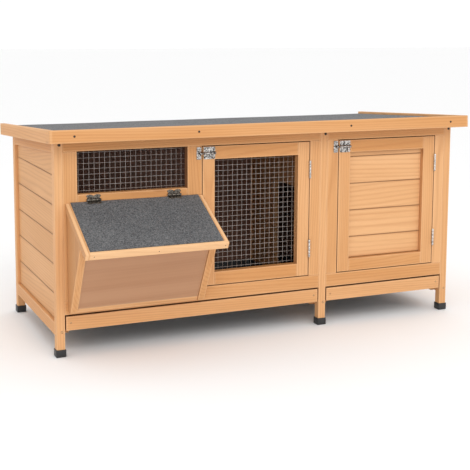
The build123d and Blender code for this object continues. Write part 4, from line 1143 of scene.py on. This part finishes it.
def plate(left, right, low, high):
    """A flat plate on the frame's face with rounded corners and a softened front edge."""
    centre = ((low + high) / 2, (left + right) / 2)
    half_z, half_x = (high - low) / 2, (right - left) / 2
    stations = front_face - PLATE_THICKNESS + np.array([0, 0.0001, 0.0003, PLATE_THICKNESS])
    shrink = np.array([0.0003, 0.0001, 0, 0])
    return lofted(centre, 1, stations, half_z - shrink, half_x - shrink, 0.0022 - shrink, 48)


def plate_screws(spots):
    """Small screws in a plate, at places across and up it."""
    return [domed_head((x, front_face - PLATE_THICKNESS, z), FORWARD, twist, *PLATE_SCREW) for x, z in spots]


keeper_parts = []
for name in ("mesh_door", "solid_door"):
    low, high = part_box(f"{name}_bolt_plate")
    plate_parts = [plate(low.x, high.x, low.z, high.z), strap(low.x), strap(high.x - STRAP_WIDTH)]
    screw_x = (low.x + PLATE_SCREW_INSET, high.x - PLATE_SCREW_INSET)
    screw_z = (bolt_axis[1] - PLATE_SCREW_RISE, bolt_axis[1] + PLATE_SCREW_RISE)
    plate_parts += plate_screws([(x, z) for x in screw_x for z in screw_z])
    node = f"{name}_bolt_plate"
    assembled(node + "_and_straps", plate_parts, name, [node], pressed_zinc, "zinc")

    rod_low, rod_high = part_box(f"{name}_bolt")
    rod_stations = rod_low.x + np.array([0, 0.0003, 0.001, 0.0022])
    rod_stations = np.concatenate([rod_stations, rod_high.x - (rod_stations[::-1] - rod_low.x)])
    rod_radii = BOLT_RADIUS * np.array([0.45, 0.75, 0.93, 1, 1, 0.93, 0.75, 0.45])
    rod = turned(bolt_axis, 0, rod_stations, rod_radii, 32)
    knob_x = high.x - STRAP_WIDTH - KNOB_RADIUS - 0.0006
    knob_z = rod_low.z + np.array([0, 0.0003, 0.0009, 0.0022, 0.0034, 0.004, 0.0055, 0.014])
    knob_radii = KNOB_RADIUS * np.array([0.5, 0.95, 1.2, 1.3, 1.15, 0.85, 0.72, 0.72])
    knob = turned((knob_x, bolt_axis[0]), 2, knob_z, knob_radii, 32)
    node = f"{name}_bolt"
    assembled(f"{name}_sliding_bolt", [rod, knob], node, [node], pressed_zinc, "zinc")

for left in (keepers_low.x, keepers_high.x - KEEPER_WIDTH):
    right = left + KEEPER_WIDTH
    keeper_parts += [plate(left, right, keepers_low.z, keepers_high.z), strap(right - STRAP_WIDTH)]
    rises = (-KEEPER_SCREW_RISE, KEEPER_SCREW_RISE)
    keeper_parts += plate_screws([((left + right) / 2, bolt_axis[1] + rise) for rise in rises])
assembled("bolt_keeper_plates", keeper_parts, "carcass", ["bolt_keepers"], pressed_zinc, "zinc")

# ---- trays ----
# Two pull-out trays that make the floor: a fir front with a black plastic pan screwed behind it.
# The pan has rounded corners, a rolled rim and a slightly dished bottom.
PAN_WALL = 0.002
TRAY_SCREW_INSET = 0.0035
for name, shade in (("left_tray", 0.6), ("right_tray", 0.1)):
    low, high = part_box(f"{name}_front")
    fir(f"{name}_front", [bar(low, high, 0, tone=shade, sides=HIDDEN)], name)
    pan_low, pan_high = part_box(f"{name}_pan")
    half_x, half_y = (pan_high.x - pan_low.x) / 2, (pan_high.y - pan_low.y) / 2
    centre = ((pan_low.x + pan_high.x) / 2, (pan_low.y + pan_high.y) / 2)
    height = pan_high.z - pan_low.z
    outside = [0, 0.0006, 0.002, height - 0.004, height - 0.0035, height - 0.0004, height]
    levels = pan_low.z + np.array([*outside, height, height - 0.0004, PAN_WALL + 0.0015, PAN_WALL])
    inset = np.array([0.0025, 0.0012, 0.0006, 0.0006, 0, 0, 0.0004, 0.0002, 0.0006, 0.0008, 0.002])
    inset[7:] += PAN_WALL
    pan = lofted(centre, 2, levels, half_x - inset, half_y - inset, 0.008, 64)
    assembled(f"moulded_{name}_pan", [pan], name, [f"{name}_pan"], black_plastic, "black_plastic")
    screws_low, screws_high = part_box(f"{name}_screws")
    screw_z = (screws_low.z + screws_high.z) / 2
    tray_x = (screws_low.x + TRAY_SCREW_INSET, screws_high.x - TRAY_SCREW_INSET)
    tray_heads = [domed_head((x, front_face, screw_z), FORWARD, twist, *TRAY_SCREW) for x in tray_x]
    assembled(f"{name}_screw_heads", tray_heads, name, [f"{name}_screws"], yellow_zinc, "zinc")

# ---- update ----
# The view layer is brought up to date.
bpy.context.view_layer.update()
